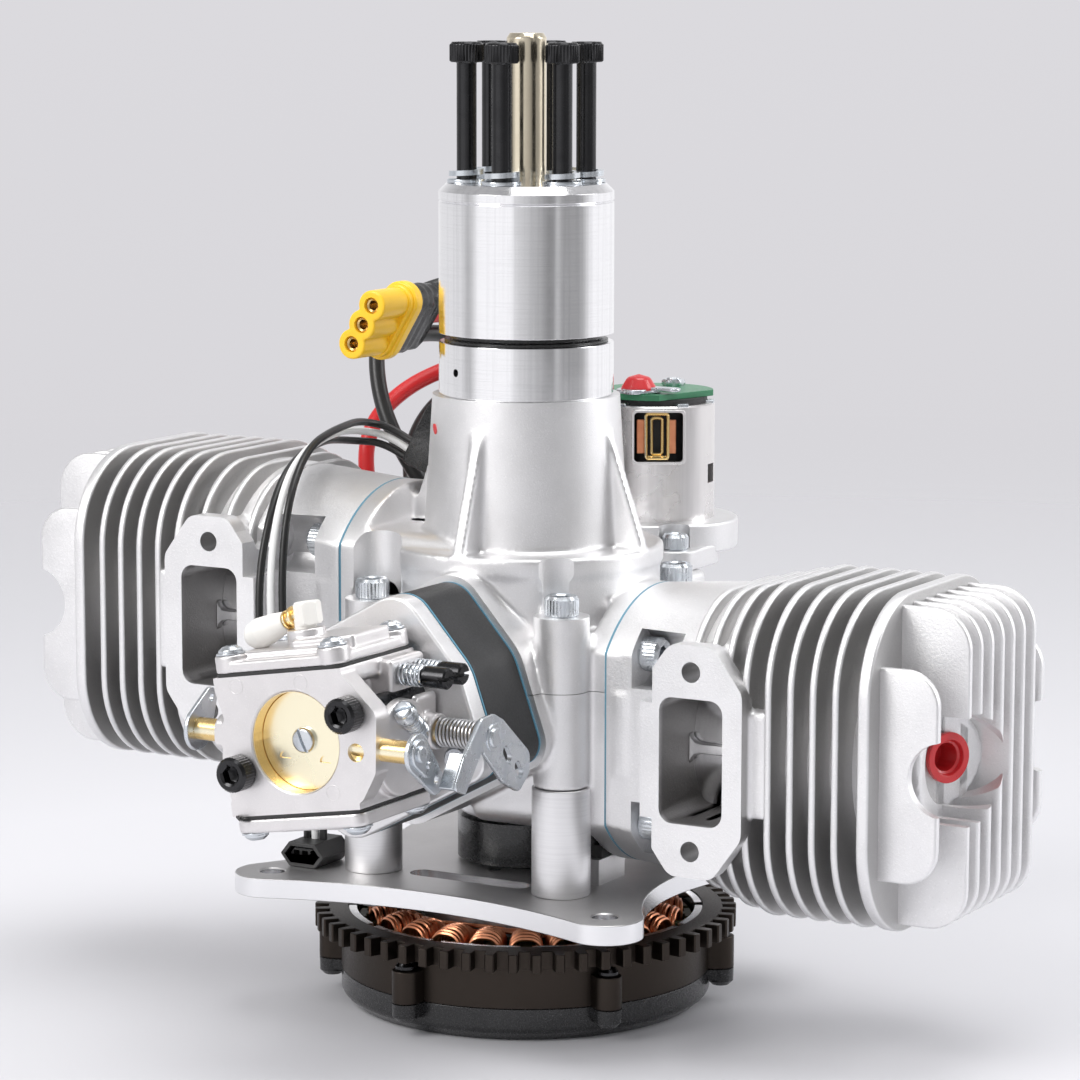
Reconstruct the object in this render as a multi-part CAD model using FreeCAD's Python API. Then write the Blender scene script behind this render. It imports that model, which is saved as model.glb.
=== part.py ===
import FreeCAD, Part
import math
import os

# A flat twin two stroke aircraft engine that stands upright on its generator.
# Lengths are in millimetres. Z runs up the crank axis towards the propeller,
# X runs along the cylinders, and the carburettor and exhaust ports face -Y.
# The origin is on the crank axis, in the rear face of the mounting plate.

V = FreeCAD.Vector
AX, AY, AZ = V(1, 0, 0), V(0, 1, 0), V(0, 0, 1)
os.makedirs("parts", exist_ok=True)

# Fits shared by the whole engine
RUN_FIT = 0.05            # radial gap of a turning or sliding fit
SEAT_GAP = 0.02           # gap round a piece that is pressed or screwed in place
HOLE_GAP = 0.25           # radial gap round the shank of a screw
WEB_GAP = 1.0             # gap beside a turning web

# Socket screws: 5 mm shank and 4 mm shank
M5_SHANK = 2.5
M5_HEAD = 4.25
M5_HEAD_H = 5.0
M5_KEY = 2.0
M4_SHANK = 2.0
M4_HEAD = 3.5
M4_HEAD_H = 4.0
M4_KEY = 1.5
KEY_DEPTH = 0.5           # share of the head that the key goes in

# Mounting plate
PLATE_T = 5.0
PLATE_HOLE_X = 47.9
PLATE_HOLE_Y = 45.1
PLATE_HOLE_R = 3.2
PLATE_CORNER_R = 9.4
PLATE_WAIST_X = 43.4
PLATE_DRIVE_GAP = 4.1     # between the plate's waist and the starter's tube
PLATE_BORE = 13.0
PLATE_SLOT_L = 34.0
PLATE_SLOT_W = 4.0
PLATE_SLOT_Y = 27.6
LEAD_WINDOW_Y = 29.6
LEAD_WINDOW_W = 7.5
PLATE_PIN_R = 1.5
PLATE_PIN_Y = 15.6

# Pillars that carry the crankcase on the plate
PILLAR_X = 27.2
PILLAR_Y = 29.9
PILLAR_R = 6.9
PILLAR_TOP = 74.4
TUBE_R = 7.3
TUBE_TOP = 32.0
NUT_ACROSS = 8.0
NUT_H = 4.0

# Crankcase
SPLIT_Z = 56.0
CASE_HALF_X = 38.0
CASE_HALF_Y = 27.6
RIGHT_Z = 44.3
LEFT_Z = 65.2
MOUTH_HALF_Z = 25.3
MOUTH_CORNER_R = 6.0
MOUTH_SCREW_Y = 20.5
MOUTH_SCREW_Z = 21.0
MOUTH_SCREW_DEPTH = 4.0
MOUTH_DEPTH = 12.0
SCREW_DEPTH = 10.0
DOME_R = 35.0
DOME_START_X = 32.5
BARREL_R = 34.0
SUMP_BASE_Z = 17.6
SUMP_STEP_Z = 20.5
SUMP_R = 33.0
DISC_R = 34.8
DISC_Z0 = 82.6
DISC_Z1 = 87.4
NOSE_BASE_R = 26.0
NOSE_TOP_R = 23.6
NOSE_TOP_Z = 124.6
RIB_T = 3.4
RIB_TOP_Z = 121.5
RIB_FOOT_R = 34.0
SPIGOT_R = 20.0
CHAMBER_R = 28.0
CHAMBER_Z0 = 31.0
CHAMBER_Z1 = 78.5
NOSE_BORE_R = 12.0
SHELF_HALF_X = 22.0
SHELF_MARGIN = 4.5        # of the shelf past the starter's screws
SHELF_Z = 58.0

# Front sleeve, nose seal and propeller hub
HUB_R = 22.0
SLEEVE_TOP = 137.9
SEAL_T = 1.8
HUB_Z0 = 140.0
HUB_Z1 = 177.5
HUB_CHAMFER = 2.0
GROOVE_Z = 173.1
GROOVE_D = 0.35
SET_HOLE_R = 1.0
SET_HOLE_TURN = -23.0
SET_HOLE_Z = 131.0
HUB_SOCKET = 16.0
PIN_R = 5.0
PIN_TOP = 214.6
PIN_DEPTH = 20.0
PIN_STEM_R = 4.0          # the end that is pressed into the hub
PIN_STEP = 0.5            # height of the pin's shoulder over the hub
PIN_CHAMFER = 0.8
BOLT_RING_R = 15.0
BOLT_COUNT = 6
BOLT_TURN = 5.8
BOLT_HEAD_Z = 207.4
BOLT_DEPTH = 22.0
BOLT_END_GAP = 0.5
WASHER_R = 4.9
WASHER_T = 1.0
SPRING_R = 4.5
SPRING_T = 1.5

# Crankshaft, bearings and seals
SHAFT_R = 8.5
CRANK_THROW = 17.0
CRANK_PIN_R = 6.5
WEB_R = 26.5
WEB_ARM = 13.0
PIN_HALF_W = 5.5
BEARING_R = 16.0
BEARING_T = 9.0
SEAL_R = 14.0
SEAL_RING_T = 4.0

# Cylinders, measured along X from the crank axis
GASKET_T = 0.6
BORE_R = 23.5
SPIGOT_WALL = 2.2
SPIGOT_IN = 7.0
MOUTH_FLANGE_T = 7.0
NECK_END = 79.0
NECK_HALF_Y = 28.0
NECK_R = 38.5
CORE_R = 30.0
FIN_FIRST = 81.4
FIN_PITCH = 5.83
FIN_COUNT = 5
FIN_T = 1.9
FIN_HALF_Y = 38.0
FIN_HALF_Z = 41.0
FIN_CORNER_R = 24.0
NECK_FIN_COUNT = 3
NECK_FIN_STEP = 4.2
HEAD_X0 = 110.4
HEAD_FLANGE_T = 3.2
HEAD_PLATE_T = 2.0
HEAD_PLATE_PITCH = 6.4
HEAD_PLATE_SIDE = 3
HEAD_OUT_X = 131.0
HEAD_HALF_Z = 38.5
HEAD_CORNER_R = 16.0
SHIELD_Y = 31.0
SHIELD_T = 2.4
SHIELD_HALF_Z = 25.5
SHIELD_OUT_X = 128.4
SHIELD_CORNER_R = 12.0
SHIELD_NOTCH_R = 9.0
HEAD_CORE_R = 21.0
HEAD_CORE_X = 119.0
SQUISH = 0.8              # gap over the piston at the top of its stroke
PLUG_TILT = 27.0
PLUG_BOSS_R = 9.2
PLUG_SEAT = 11.0
PLUG_POCKET_R = 10.4
PLUG_HOLE_R = 5.0
CAP_FLANGE_R = 6.2
CAP_FLANGE_T = 1.4
CAP_LENGTH = 9.0
CAP_BORE_R = 3.4

# Exhaust ports
PORT_X = 68.8
PORT_FACE_Y = 41.5
PORT_W = 16.9
PORT_H = 30.6
PORT_CORNER_R = 3.4
PORT_FLANGE_T = 6.0
PORT_FLANGE_HALF_W = 13.6
PORT_FLANGE_HALF_H = 28.2
PORT_FLANGE_SHOULDER = 17.5
PORT_STUD_PITCH = 43.4
PORT_STUD_R = 2.5
PORT_STUD_DEPTH = 9.0
PORT_STUD_BOSS_R = 5.0
PORT_NECK_HALF_H = 19.5
PORT_PAD_HALF_H = 13.0
PORT_BRIDGE_T = 2.4

# Pistons
PISTON_TOP_X = 90.0        # wrist pin at the top of its stroke
PISTON_CROWN = 18.0
PISTON_SKIRT = 15.0
PISTON_WALL = 3.0
WRIST_R = 5.0
RING_T = 1.5
RING_D = 1.6

# Intake: block, gaskets and cast adaptor
BORE_X = -4.2
BORE_Z = 52.0
INTAKE_FACE_Y = 40.0
SHEET_T = 0.5
BLOCK_T = 19.5
ADAPTOR_T = 6.3
INTAKE_END_IN = 5.4       # from the case's side to the intake's far corner
INTAKE_HALF = ((7.6, 32.2), (24.1, 13.7), (CASE_HALF_X - INTAKE_END_IN, -10.3))
INTAKE_RADII = (8.0, 14.0, 6.0)
INTAKE_SCREW_U = 25.5
INTAKE_SCREW_V = -7.0
INTAKE_SCREW_DEPTH = 6.5
BOSS_MARGIN = 1.6
INTAKE_BORE_R = 12.0

# Carburettor, with its covers rolled about the bore and its shafts along X
CARB_ROLL = 9.2
CARB_DEPTH = 33.5
CARB_LEFT = 20.5
CARB_RIGHT = 15.5
CARB_HALF_H = 16.6
CARB_CORNER_R = 3.0
CARB_FLANGE_T = 7.0
CARB_FLANGE = ((-23.4, 12.4), (-19.9, 4.0), (-20.4, -7.0), (-17.4, -17.6),
               (18.4, -12.4), (22.2, -5.0), (22.4, 9.0), (12.0, 18.3))
CARB_FLANGE_RADII = (3.0, 3.0, 3.0, 4.0, 3.0, 3.0, 4.0, 3.0)
CARB_RIM = 4.5
CARB_RIM_CORNER_R = 1.5
CARB_WAIST_IN = 2.0       # the middle of the body stands in from its rims
THROAT_R = 12.1
THROAT_DEPTH = 14.0
VENTURI_R = 10.0
VENTURI_L = 6.0
THROTTLE_BORE_R = 10.9
CHOKE_Y = 97.2
CHOKE_SHAFT_R = 2.7
CHOKE_LEFT_X = -29.0
CHOKE_RIGHT_X = 24.0
DISC_T = 1.0
DISC_SCREW_R = 1.3
JET_X = 12.6
JET_Z = 51.4
JET_R = 2.2
THROTTLE_Y = 72.0
THROTTLE_SHAFT_R = 2.6
THROTTLE_LEFT_X = -27.5
THROTTLE_RIGHT_X = 31.5
THROTTLE_BOSS_X = 18.0
THROTTLE_SPRING_R = 3.6
THROTTLE_ARM_Y = 14.0
THROTTLE_ARM_Z = 10.6
LINK_HOLE_R = 1.3
SHAFT_BOSS_R = 4.4
SHAFT_BOSS_OUT = 2.5
CARB_BACK_IN = 1.0        # the covers stop short of the body's rear face
COVER_GASKET_T = 0.8
PUMP_COVER_T = 4.4
METER_COVER_T = 3.8
COVER_SCREW_R = 2.9
COVER_SCREW_H = 2.0
COVER_SHANK_R = 1.3
COVER_SCREW_IN = 2.0
COVER_SCREW_EDGE = 3.6    # from the cover's edges
INLET_U = -3.0
INLET_Y = 88.0
INLET_BOSS_R = 5.0
INLET_BOSS_H = 4.0
INLET_STEM_R = 2.6
INLET_CAP_R = 4.2
INLET_CAP_END = 16.0
METER_BOSS_R = 4.5
METER_BOSS_H = 2.0
MIX_YS = (79.5, 72.5)
MIX_X = 12.0
MIX_Z = 66.5
MIX_R = 1.3
MIX_DEPTH = 8.0
MIX_HEAD_X = 18.0
MIX_HEAD_R = 2.6
MIX_HEAD_L = 7.0
IDLE_X = 18.6
IDLE_Y = 89.0
IDLE_LUG_Z = 49.0
IDLE_R = 1.3
IDLE_HEAD_R = 2.7
IDLE_SPRING_L = 5.0
CARB_SCREW_PITCH = 34.6
CARB_SCREW_TURN = 29.4
LEVER_T = 1.2
LEVER_NECK_IN = 0.5       # the shaft's riveted end is thinner than the shaft
CHOKE_LEVER_R = 5.4
CHOKE_ARM = (2.0, 6.6)
CHOKE_ARM_R = 2.7
CHOKE_ARM_HOLE_R = 0.9
CHOKE_CAM_R = 5.2
CHOKE_CAM_ARM = (3.4, -6.6)
CHOKE_CAM_ARM_R = 3.0
CHOKE_CAM_HOLE_R = 1.1
THROTTLE_LEVER_R = 6.2
THROTTLE_ARM_R = 4.0
THROTTLE_TAIL = (-11.0, -8.0)
THROTTLE_TAIL_R = 2.6
THROTTLE_TAB = (-10.2, -3.4)
THROTTLE_TAB_L = 13.0
THROTTLE_TAB_W = 5.0

# Generator
STATOR_R = 42.6
MAGNET_T = 2.1
AIR_GAP = 0.7
ROTOR_WALL = 1.9
RING_BORE = STATOR_R + AIR_GAP + MAGNET_T
ROTOR_R = RING_BORE + ROTOR_WALL
FLOOR_Z = -31.0
SEAM_Z = -22.4
RING_TOP_Z = -7.0
GEAR_TEETH = 58
GEAR_OUT = 4.9            # from the rotor's side to the teeth's pitch circle
GEAR_MODULE = 2 * (ROTOR_R + GEAR_OUT) / GEAR_TEETH
GEAR_T = 4.6
GEAR_ROOT = 1.9
GEAR_TIP = 1.8
GEAR_SHARE = 0.46         # tooth width over tooth pitch
GEAR_FLANK = (0.11, 0.11)  # slopes of a tooth's side below and above the pitch circle
MAGNET_COUNT = 12
MAGNET_GAP = 4.0
BOSS_COUNT = 6
BOSS_TURN = -6.3
BOSS_OUT = 2.9            # from the rotor's side to the bosses' centres
BOSS_R = 3.4
BOSS_BASE_Z = -27.0
BOSS_TOP_Z = -14.0
ROTOR_SCREW_R = 1.5
CAP_FLOOR_T = 3.5
CAP_EDGE_R = 3.0
VENT_R = 5.0
STATOR_BORE = 23.0
STATOR_YOKE_R = 30.0
STATOR_RIM_T = 1.8
TOOTH_W = 3.0
SLOT_MOUTH = 2.6
STATOR_Z0 = -21.5
STATOR_Z1 = -9.5
SLOT_COUNT = 24
COIL_LIFT = 4.5
COIL_W0 = 6.6
COIL_W1 = 8.6
ROTOR_HUB_R = 14.0
ROTOR_HUB_TOP = -12.0
CARRIER_BORE = 17.0
CARRIER_FLANGE_R = 27.0
CARRIER_FLANGE_T = 3.0
TRIGGER_R = 17.4
TRIGGER_Z0 = 6.2
MAGNET_PIN_R = 1.5

# Starter
PINION_TEETH = 10
PINION_T = 4.5
PINION_Z0 = -11.3
PINION_ROOT = 2.2
PINION_TIP = 1.5
PINION_SHARE = 0.42
PINION_FLANK = (-0.05, 0.42)
STARTER_TURN = 4.5
CAN_R = 15.4
CAN_WALL = 2.2
CAN_Z0 = 86.5
CAN_Z1 = 117.0
STARTER_FLANGE_R = 21.7
STARTER_FLANGE_Z0 = 78.5
DRIVE_TUBE_R = 11.5
DRIVE_TUBE_Z0 = -4.0
DRIVE_SHAFT_R = 4.0
DRIVE_BORE_R = 7.0
DRIVE_BUSH_H = 8.0
STARTER_EAR_HALF = 14.8
STARTER_EAR_R = 6.0
STARTER_EAR_IN = 17.0     # from the starter's axis to its screws
BOARD_T = 1.5
TERMINAL_R = 3.0
TERMINAL_H = 6.5
TERMINAL_OUT = 9.5
STARTER_EAR_TOP = 80.6
STARTER_EAR_T = 5.0

WINDOW_TURN = -60.0
WINDOW_HALF = 6.5
WINDOW_H = 15.0
BRUSH_HALF = 3.6
BRUSH_H = 9.0

# Timing sensor, its mount on the plate and the plug of its wires
MOUNT_X0 = 22.5
MOUNT_X1 = 31.5
MOUNT_Y0 = 5.0
MOUNT_Y1 = 18.4
MOUNT_TOP = 11.5
SENSOR_X0 = 18.6
SENSOR_X1 = 31.0
SENSOR_Y0 = 6.0
SENSOR_Y1 = 16.0
SENSOR_T = 3.0
SENSOR_SCREW_R = 0.9
SENSOR_PLUG_X = -43.0
SENSOR_PLUG_Y0 = 26.0
SENSOR_PLUG_Y1 = 39.0
SENSOR_PLUG_W = 13.0
SENSOR_PLUG_H = 6.4

# Lead guard, an upright plate behind the nose
GUARD_T = 2.5
GUARD_OUTLINE = ((-12.0, DISC_Z1), (-12.0, 116.0), (-45.5, 117.0), (-54.5, 100.5),
                 (-44.0, 97.0), (-32.0, 94.0), (-32.0, 81.0), (-23.0, 81.0), (-23.0, DISC_Z1))
GUARD_SCREW_X = -27.5
GUARD_SCREW_Z = 85.5
GUARD_SCREW_R = 1.5
GUARD_SCREW_DEPTH = 4.0

# Three pole connector, whose face looks along -Y
PLUG_X = -44.0
PLUG_Y = -8.0
PLUG_Z = 140.3
POLE_PITCH = 5.9
POLE_LEAN = 31.0
POLE_R = 3.9
POLE_HOLE_R = 2.1
HOUSING_L = 17.0
COLLAR_T = 3.0
BOOT_L = 13.0

# Leads
LEAD_R = 2.2
WIRE_R = 1.0
EXIT_RUN = 15.0
WIRE_STEP = 2.4
WIRE_RUN = 7.0


def cyl_z(radius, z0, z1, x=0.0, y=0.0):
    return Part.makeCylinder(radius, z1 - z0, V(x, y, z0))


def cyl_x(radius, x0, x1, y=0.0, z=0.0):
    return Part.makeCylinder(radius, x1 - x0, V(x0, y, z), AX)


def cyl_y(radius, y0, y1, x=0.0, z=0.0):
    return Part.makeCylinder(radius, y1 - y0, V(x, y0, z), AY)


def box(x0, x1, y0, y1, z0, z1):
    return Part.makeBox(x1 - x0, y1 - y0, z1 - z0, V(x0, y0, z0))


def ring_z(outer, inner, z0, z1, x=0.0, y=0.0):
    return cyl_z(outer, z0, z1, x, y).cut(cyl_z(inner, z0 - 1, z1 + 1, x, y))


def fuse(pieces):
    pieces = list(pieces)
    if len(pieces) == 1:
        return pieces[0]
    return pieces[0].multiFuse(pieces[1:]).removeSplitter()


def group(pieces):
    return Part.makeCompound(list(pieces))


def turned(shape, angle, axis=AZ, at=V(0, 0, 0)):
    copy = shape.copy()
    copy.rotate(at, axis, angle)
    return copy


def moved(shape, x=0.0, y=0.0, z=0.0):
    copy = shape.copy()
    copy.translate(V(x, y, z))
    return copy


def mirrored_x(shape):
    return shape.mirror(V(0, 0, 0), AX)


def polar(radius, angle):
    """A point at an angle from -Y towards +X, the way the engine is looked at."""
    a = math.radians(angle)
    return radius * math.sin(a), -radius * math.cos(a)


def round_wire(corners, radii, lift):
    """A closed outline with an arc of its own radius at each corner."""
    count = len(corners)
    edges = []
    last = None
    first = None
    for i in range(count):
        a = V(*corners[i - 1], 0)
        b = V(*corners[i], 0)
        c = V(*corners[(i + 1) % count], 0)
        radius = radii[i]
        into = (a - b).normalize()
        away = (c - b).normalize()
        half = into.getAngle(away) / 2
        reach = radius / math.tan(half)
        start = b + into * reach
        end = b + away * reach
        centre = b + (into + away).normalize() * (radius / math.sin(half))
        middle = centre + (b - centre).normalize() * radius
        if last is not None:
            edges.append(Part.LineSegment(lift(last), lift(start)).toShape())
        else:
            first = start
        edges.append(Part.Arc(lift(start), lift(middle), lift(end)).toShape())
        last = end
    edges.append(Part.LineSegment(lift(last), lift(first)).toShape())
    return Part.Wire(edges)


def prism(corners, radii, lift, push):
    """A rounded outline pushed along a vector. One radius may serve every corner."""
    if not isinstance(radii, (list, tuple)):
        radii = [radii] * len(corners)
    return Part.Face(round_wire(corners, radii, lift)).extrude(push)


def rect(half_u, half_v, u=0.0, v=0.0):
    return ((u - half_u, v - half_v), (u + half_u, v - half_v),
            (u + half_u, v + half_v), (u - half_u, v + half_v))


def on_x(x):
    return lambda p: V(x, p.x, p.y)


def on_y(y):
    return lambda p: V(p.x, y, p.y)


def on_z(z):
    return lambda p: V(p.x, p.y, z)


def grown(corners, margin):
    """The same outline with each corner moved out along its bisector."""
    out = []
    count = len(corners)
    for i in range(count):
        a = V(*corners[i - 1], 0)
        b = V(*corners[i], 0)
        c = V(*corners[(i + 1) % count], 0)
        into = (a - b).normalize()
        away = (c - b).normalize()
        half = into.getAngle(away) / 2
        shift = (into + away).normalize() * (-margin / math.sin(half))
        out.append((b.x + shift.x, b.y + shift.y))
    return out


def socket_screw(shank, head, head_h, key, length):
    """A socket head screw along +Z, with its head's underside at the origin."""
    body = fuse([cyl_z(head, 0, head_h), cyl_z(shank, -length, 0.5)])
    hexagon = [polar(key * 2 / math.sqrt(3), 60 * i) for i in range(6)]
    points = [V(x, y, head_h * (1 - KEY_DEPTH)) for x, y in hexagon]
    key_face = Part.Face(Part.makePolygon(points + [points[0]]))
    return body.cut(key_face.extrude(V(0, 0, head_h)))


def aimed(shape, direction, at):
    """Turns a piece made along +Z to a direction, and moves it there."""
    copy = shape.copy()
    copy.Placement = FreeCAD.Placement(at, FreeCAD.Rotation(AZ, direction))
    return copy


def save(name, shape):
    shape.exportStep("parts/" + name + ".step")


PILLARS = [(sx * PILLAR_X, sy * PILLAR_Y) for sx in (1, -1) for sy in (-1, 1)]
PISTON_X = PISTON_TOP_X - CRANK_THROW
CHAMBER_TOP_X = PISTON_TOP_X + PISTON_CROWN + SQUISH


# Mounting plate, tubes and pillar screws

def mounting_plate():
    corner_x = PLATE_HOLE_X + PLATE_CORNER_R
    corner_y = PLATE_HOLE_Y + PLATE_CORNER_R
    plate = prism(rect(corner_x, corner_y), PLATE_CORNER_R, on_z(0), V(0, 0, PLATE_T))
    deep_x = corner_x - PLATE_WAIST_X
    deep_y = corner_y - PLATE_WAIST_Y
    scoop_x = (PLATE_HOLE_Y ** 2 + deep_x ** 2) / (2 * deep_x)
    scoop_y = (PLATE_HOLE_X ** 2 + deep_y ** 2) / (2 * deep_y)
    low, high = -1, PLATE_T + 1
    cuts = [cyl_z(PLATE_BORE, low, high), cyl_z(PLATE_PIN_R, low, high, 0, -PLATE_PIN_Y)]
    for s in (1, -1):
        cuts.append(cyl_z(scoop_y, low, high, 0, s * (PLATE_WAIST_Y + scoop_y)))
        cuts.append(cyl_z(scoop_x, low, high, s * (PLATE_WAIST_X + scoop_x), 0))
    for x in (-PLATE_HOLE_X, PLATE_HOLE_X):
        for y in (-PLATE_HOLE_Y, PLATE_HOLE_Y):
            cuts.append(cyl_z(PLATE_HOLE_R, low, high, x, y))
    for x, y in PILLARS:
        cuts.append(cyl_z(M5_SHANK + HOLE_GAP, low, high, x, y))
    for y, width in ((-PLATE_SLOT_Y, PLATE_SLOT_W), (LEAD_WINDOW_Y, LEAD_WINDOW_W)):
        half, r = PLATE_SLOT_L / 2, width / 2 - 0.01
        cuts.append(prism(rect(half, width / 2, 0, y), r, on_z(low), V(0, 0, high - low)))
    return plate.cut(cuts)


def pillar_tubes():
    return group(ring_z(TUBE_R, M5_SHANK + HOLE_GAP, PLATE_T, TUBE_TOP, x, y) for x, y in PILLARS)


def pillar_screws():
    length = PILLAR_TOP + NUT_H
    screw = socket_screw(M5_SHANK, M5_HEAD, M5_HEAD_H, M5_KEY, length)
    return group(moved(screw, x, y, PILLAR_TOP) for x, y in PILLARS)


def hexagon(across, height):
    corners = [polar(across / math.sqrt(3), 60 * i) for i in range(6)]
    points = [V(x, y, 0) for x, y in corners]
    return Part.Face(Part.makePolygon(points + [points[0]])).extrude(V(0, 0, height))


def pillar_nuts():
    nut = hexagon(NUT_ACROSS, NUT_H).cut(cyl_z(M5_SHANK + SEAT_GAP, -1, NUT_H + 1))
    return group(moved(nut, x, y, -NUT_H) for x, y in PILLARS)


# Crankcase, split square to the crank axis

def mouth_profile(axis_z, margin=0.0):
    half_y, half_z = CASE_HALF_Y + margin, MOUTH_HALF_Z + margin
    return rect(half_y, half_z, 0, axis_z)


def mouth_slab(x0, x1, axis_z):
    """The square and round outline in which case, gasket and cylinder meet."""
    slab = prism(mouth_profile(axis_z), MOUTH_CORNER_R, on_x(x0), V(x1 - x0, 0, 0))
    dome = cyl_x(DOME_R, x0, x1, 0, axis_z)
    flat = box(x0, x1, -CASE_HALF_Y, CASE_HALF_Y, axis_z - DOME_R, axis_z + DOME_R)
    return fuse([slab, dome.common(flat)])


def mouth_screw_points(axis_z):
    return [(sy * MOUTH_SCREW_Y, axis_z + sz * MOUTH_SCREW_Z) for sy in (1, -1) for sz in (1, -1)]


def intake_outline(margin=0.0):
    half = [(BORE_X + u, BORE_Z + v) for u, v in INTAKE_HALF]
    other = [(BORE_X - u, BORE_Z - v) for u, v in INTAKE_HALF]
    corners = half + other
    return grown(corners, margin) if margin else corners


def intake_slab(y0, y1, margin=0.0):
    """A slab of the intake outline between two depths in front of the crank axis."""
    radii = [r + margin for r in INTAKE_RADII + INTAKE_RADII]
    return prism(intake_outline(margin), radii, on_y(-y1), V(0, y1 - y0, 0))


def intake_screw_points():
    u, v = INTAKE_SCREW_U, INTAKE_SCREW_V
    return [(BORE_X + u, BORE_Z + v), (BORE_X - u, BORE_Z - v)]


def crankcase_blank():
    solid = [cyl_z(SUMP_R, SUMP_BASE_Z, SUMP_STEP_Z + 1)]
    solid.append(cyl_z(BARREL_R, SUMP_STEP_Z, DISC_Z0 + 1))
    solid.append(cyl_z(DISC_R, DISC_Z0, DISC_Z1))
    for side, axis_z in ((1, RIGHT_Z), (-1, LEFT_Z)):
        block = prism(mouth_profile(axis_z), MOUTH_CORNER_R, on_x(0), V(side * CASE_HALF_X, 0, 0))
        dome = mouth_slab(DOME_START_X, CASE_HALF_X, axis_z)
        solid.append(block)
        solid.append(dome if side > 0 else mirrored_x(dome))
    for x, y in PILLARS:
        solid.append(cyl_z(PILLAR_R, TUBE_TOP, PILLAR_TOP, x, y))
    solid.append(intake_slab(CASE_HALF_Y - 8, INTAKE_FACE_Y, BOSS_MARGIN))
    shelf_top = STARTER_EAR_TOP - STARTER_EAR_T
    x0, x1 = STARTER_X - SHELF_HALF_X, STARTER_X + SHELF_HALF_X
    shelf = box(x0, x1, 20, SHELF_Y, SHELF_Z, shelf_top)
    solid.append(shelf)
    return fuse(solid)


def nose():
    cone = Part.makeCone(NOSE_BASE_R, NOSE_TOP_R, NOSE_TOP_Z - DISC_Z1 + 1, V(0, 0, DISC_Z1 - 1))
    spigot = cyl_z(SPIGOT_R, NOSE_TOP_Z - 1, SLEEVE_TOP)
    ribs = []
    for k in range(4):
        corners = ((NOSE_TOP_R - 6, DISC_Z1 - 1), (RIB_FOOT_R, DISC_Z1 - 1),
                   (RIB_FOOT_R, DISC_Z1 + 1.5), (NOSE_TOP_R - 1, RIB_TOP_Z))
        points = [V(x, -RIB_T / 2, z) for x, z in corners]
        rib = Part.Face(Part.makePolygon(points + [points[0]])).extrude(V(0, RIB_T, 0))
        ribs.append(turned(rib, 90 * k))
    return fuse([cone, spigot] + ribs)


def crankcase():
    body = fuse([crankcase_blank(), nose()])
    cuts = [cyl_z(CHAMBER_R, CHAMBER_Z0, CHAMBER_Z1)]
    seat = BEARING_R + SEAT_GAP
    rear_bearing = CHAMBER_Z0 - BEARING_T
    cuts.append(cyl_z(seat, rear_bearing, CHAMBER_Z0 + 1))
    cuts.append(cyl_z(SEAL_R + SEAT_GAP, rear_bearing - SEAL_RING_T, rear_bearing + 1))
    cuts.append(cyl_z(SHAFT_R + 2, SUMP_BASE_Z - 1, rear_bearing))
    cuts.append(cyl_z(seat, CHAMBER_Z1 - 1, CHAMBER_Z1 + BEARING_T))
    cuts.append(cyl_z(NOSE_BORE_R, CHAMBER_Z1 + BEARING_T - 1, SLEEVE_TOP + 1))
    cuts.append(cyl_z(seat, SLEEVE_TOP - BEARING_T, SLEEVE_TOP + 1))
    mouth_r = BORE_R + SPIGOT_WALL + SEAT_GAP
    for side, axis_z in ((1, RIGHT_Z), (-1, LEFT_Z)):
        mouth = cyl_x(mouth_r, CASE_HALF_X - MOUTH_DEPTH, CASE_HALF_X + 1, 0, axis_z)
        cuts.append(mouth if side > 0 else mirrored_x(mouth))
        for y, z in mouth_screw_points(axis_z):
            hole = cyl_x(M5_SHANK + SEAT_GAP, CASE_HALF_X - MOUTH_SCREW_DEPTH, CASE_HALF_X + 1, y, z)
            cuts.append(hole if side > 0 else mirrored_x(hole))
    for x, y in PILLARS:
        cuts.append(cyl_z(TUBE_R + HOLE_GAP, PLATE_T, TUBE_TOP, x, y))
        cuts.append(cyl_z(M5_SHANK + HOLE_GAP, SUMP_BASE_Z, PILLAR_TOP + 1, x, y))
        cuts.append(cyl_z(M5_HEAD + 1.2, PILLAR_TOP, PILLAR_TOP + M5_HEAD_H + 8, x, y))
    cuts.append(cyl_y(INTAKE_BORE_R, -INTAKE_FACE_Y - 1, -CHAMBER_R + 4, BORE_X, BORE_Z))
    for x, z in intake_screw_points():
        cuts.append(cyl_y(M4_SHANK + SEAT_GAP, -INTAKE_FACE_Y - 1, -INTAKE_FACE_Y + INTAKE_SCREW_DEPTH, x, z))
    shelf_top = STARTER_EAR_TOP - STARTER_EAR_T
    for x in STARTER_SCREWS_X:
        cuts.append(cyl_z(M5_SHANK + SEAT_GAP, shelf_top - SCREW_DEPTH, shelf_top + 1, x, STARTER_EAR_Y))
    cuts.append(guard_hole(GUARD_SCREW_R + SEAT_GAP, -GUARD_SCREW_DEPTH, 1))
    return body.cut(cuts)


def halves():
    body = crankcase()
    reach = 200
    rear = body.common(box(-reach, reach, -reach, reach, -reach, SPLIT_Z))
    front = body.common(box(-reach, reach, -reach, reach, SPLIT_Z, reach))
    return front, rear


def front_sleeve():
    sleeve = ring_z(HUB_R, SPIGOT_R + SEAT_GAP, NOSE_TOP_Z, SLEEVE_TOP)
    x, y = polar(1, SET_HOLE_TURN)
    hole = Part.makeCylinder(SET_HOLE_R, HUB_R + 1, V(0, 0, SET_HOLE_Z), V(x, y, 0))
    return sleeve.cut(hole)


def main_bearings():
    starts = (CHAMBER_Z0 - BEARING_T, CHAMBER_Z1, SLEEVE_TOP - BEARING_T)
    return group(ring_z(BEARING_R, SHAFT_R + RUN_FIT, z, z + BEARING_T) for z in starts)


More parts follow.
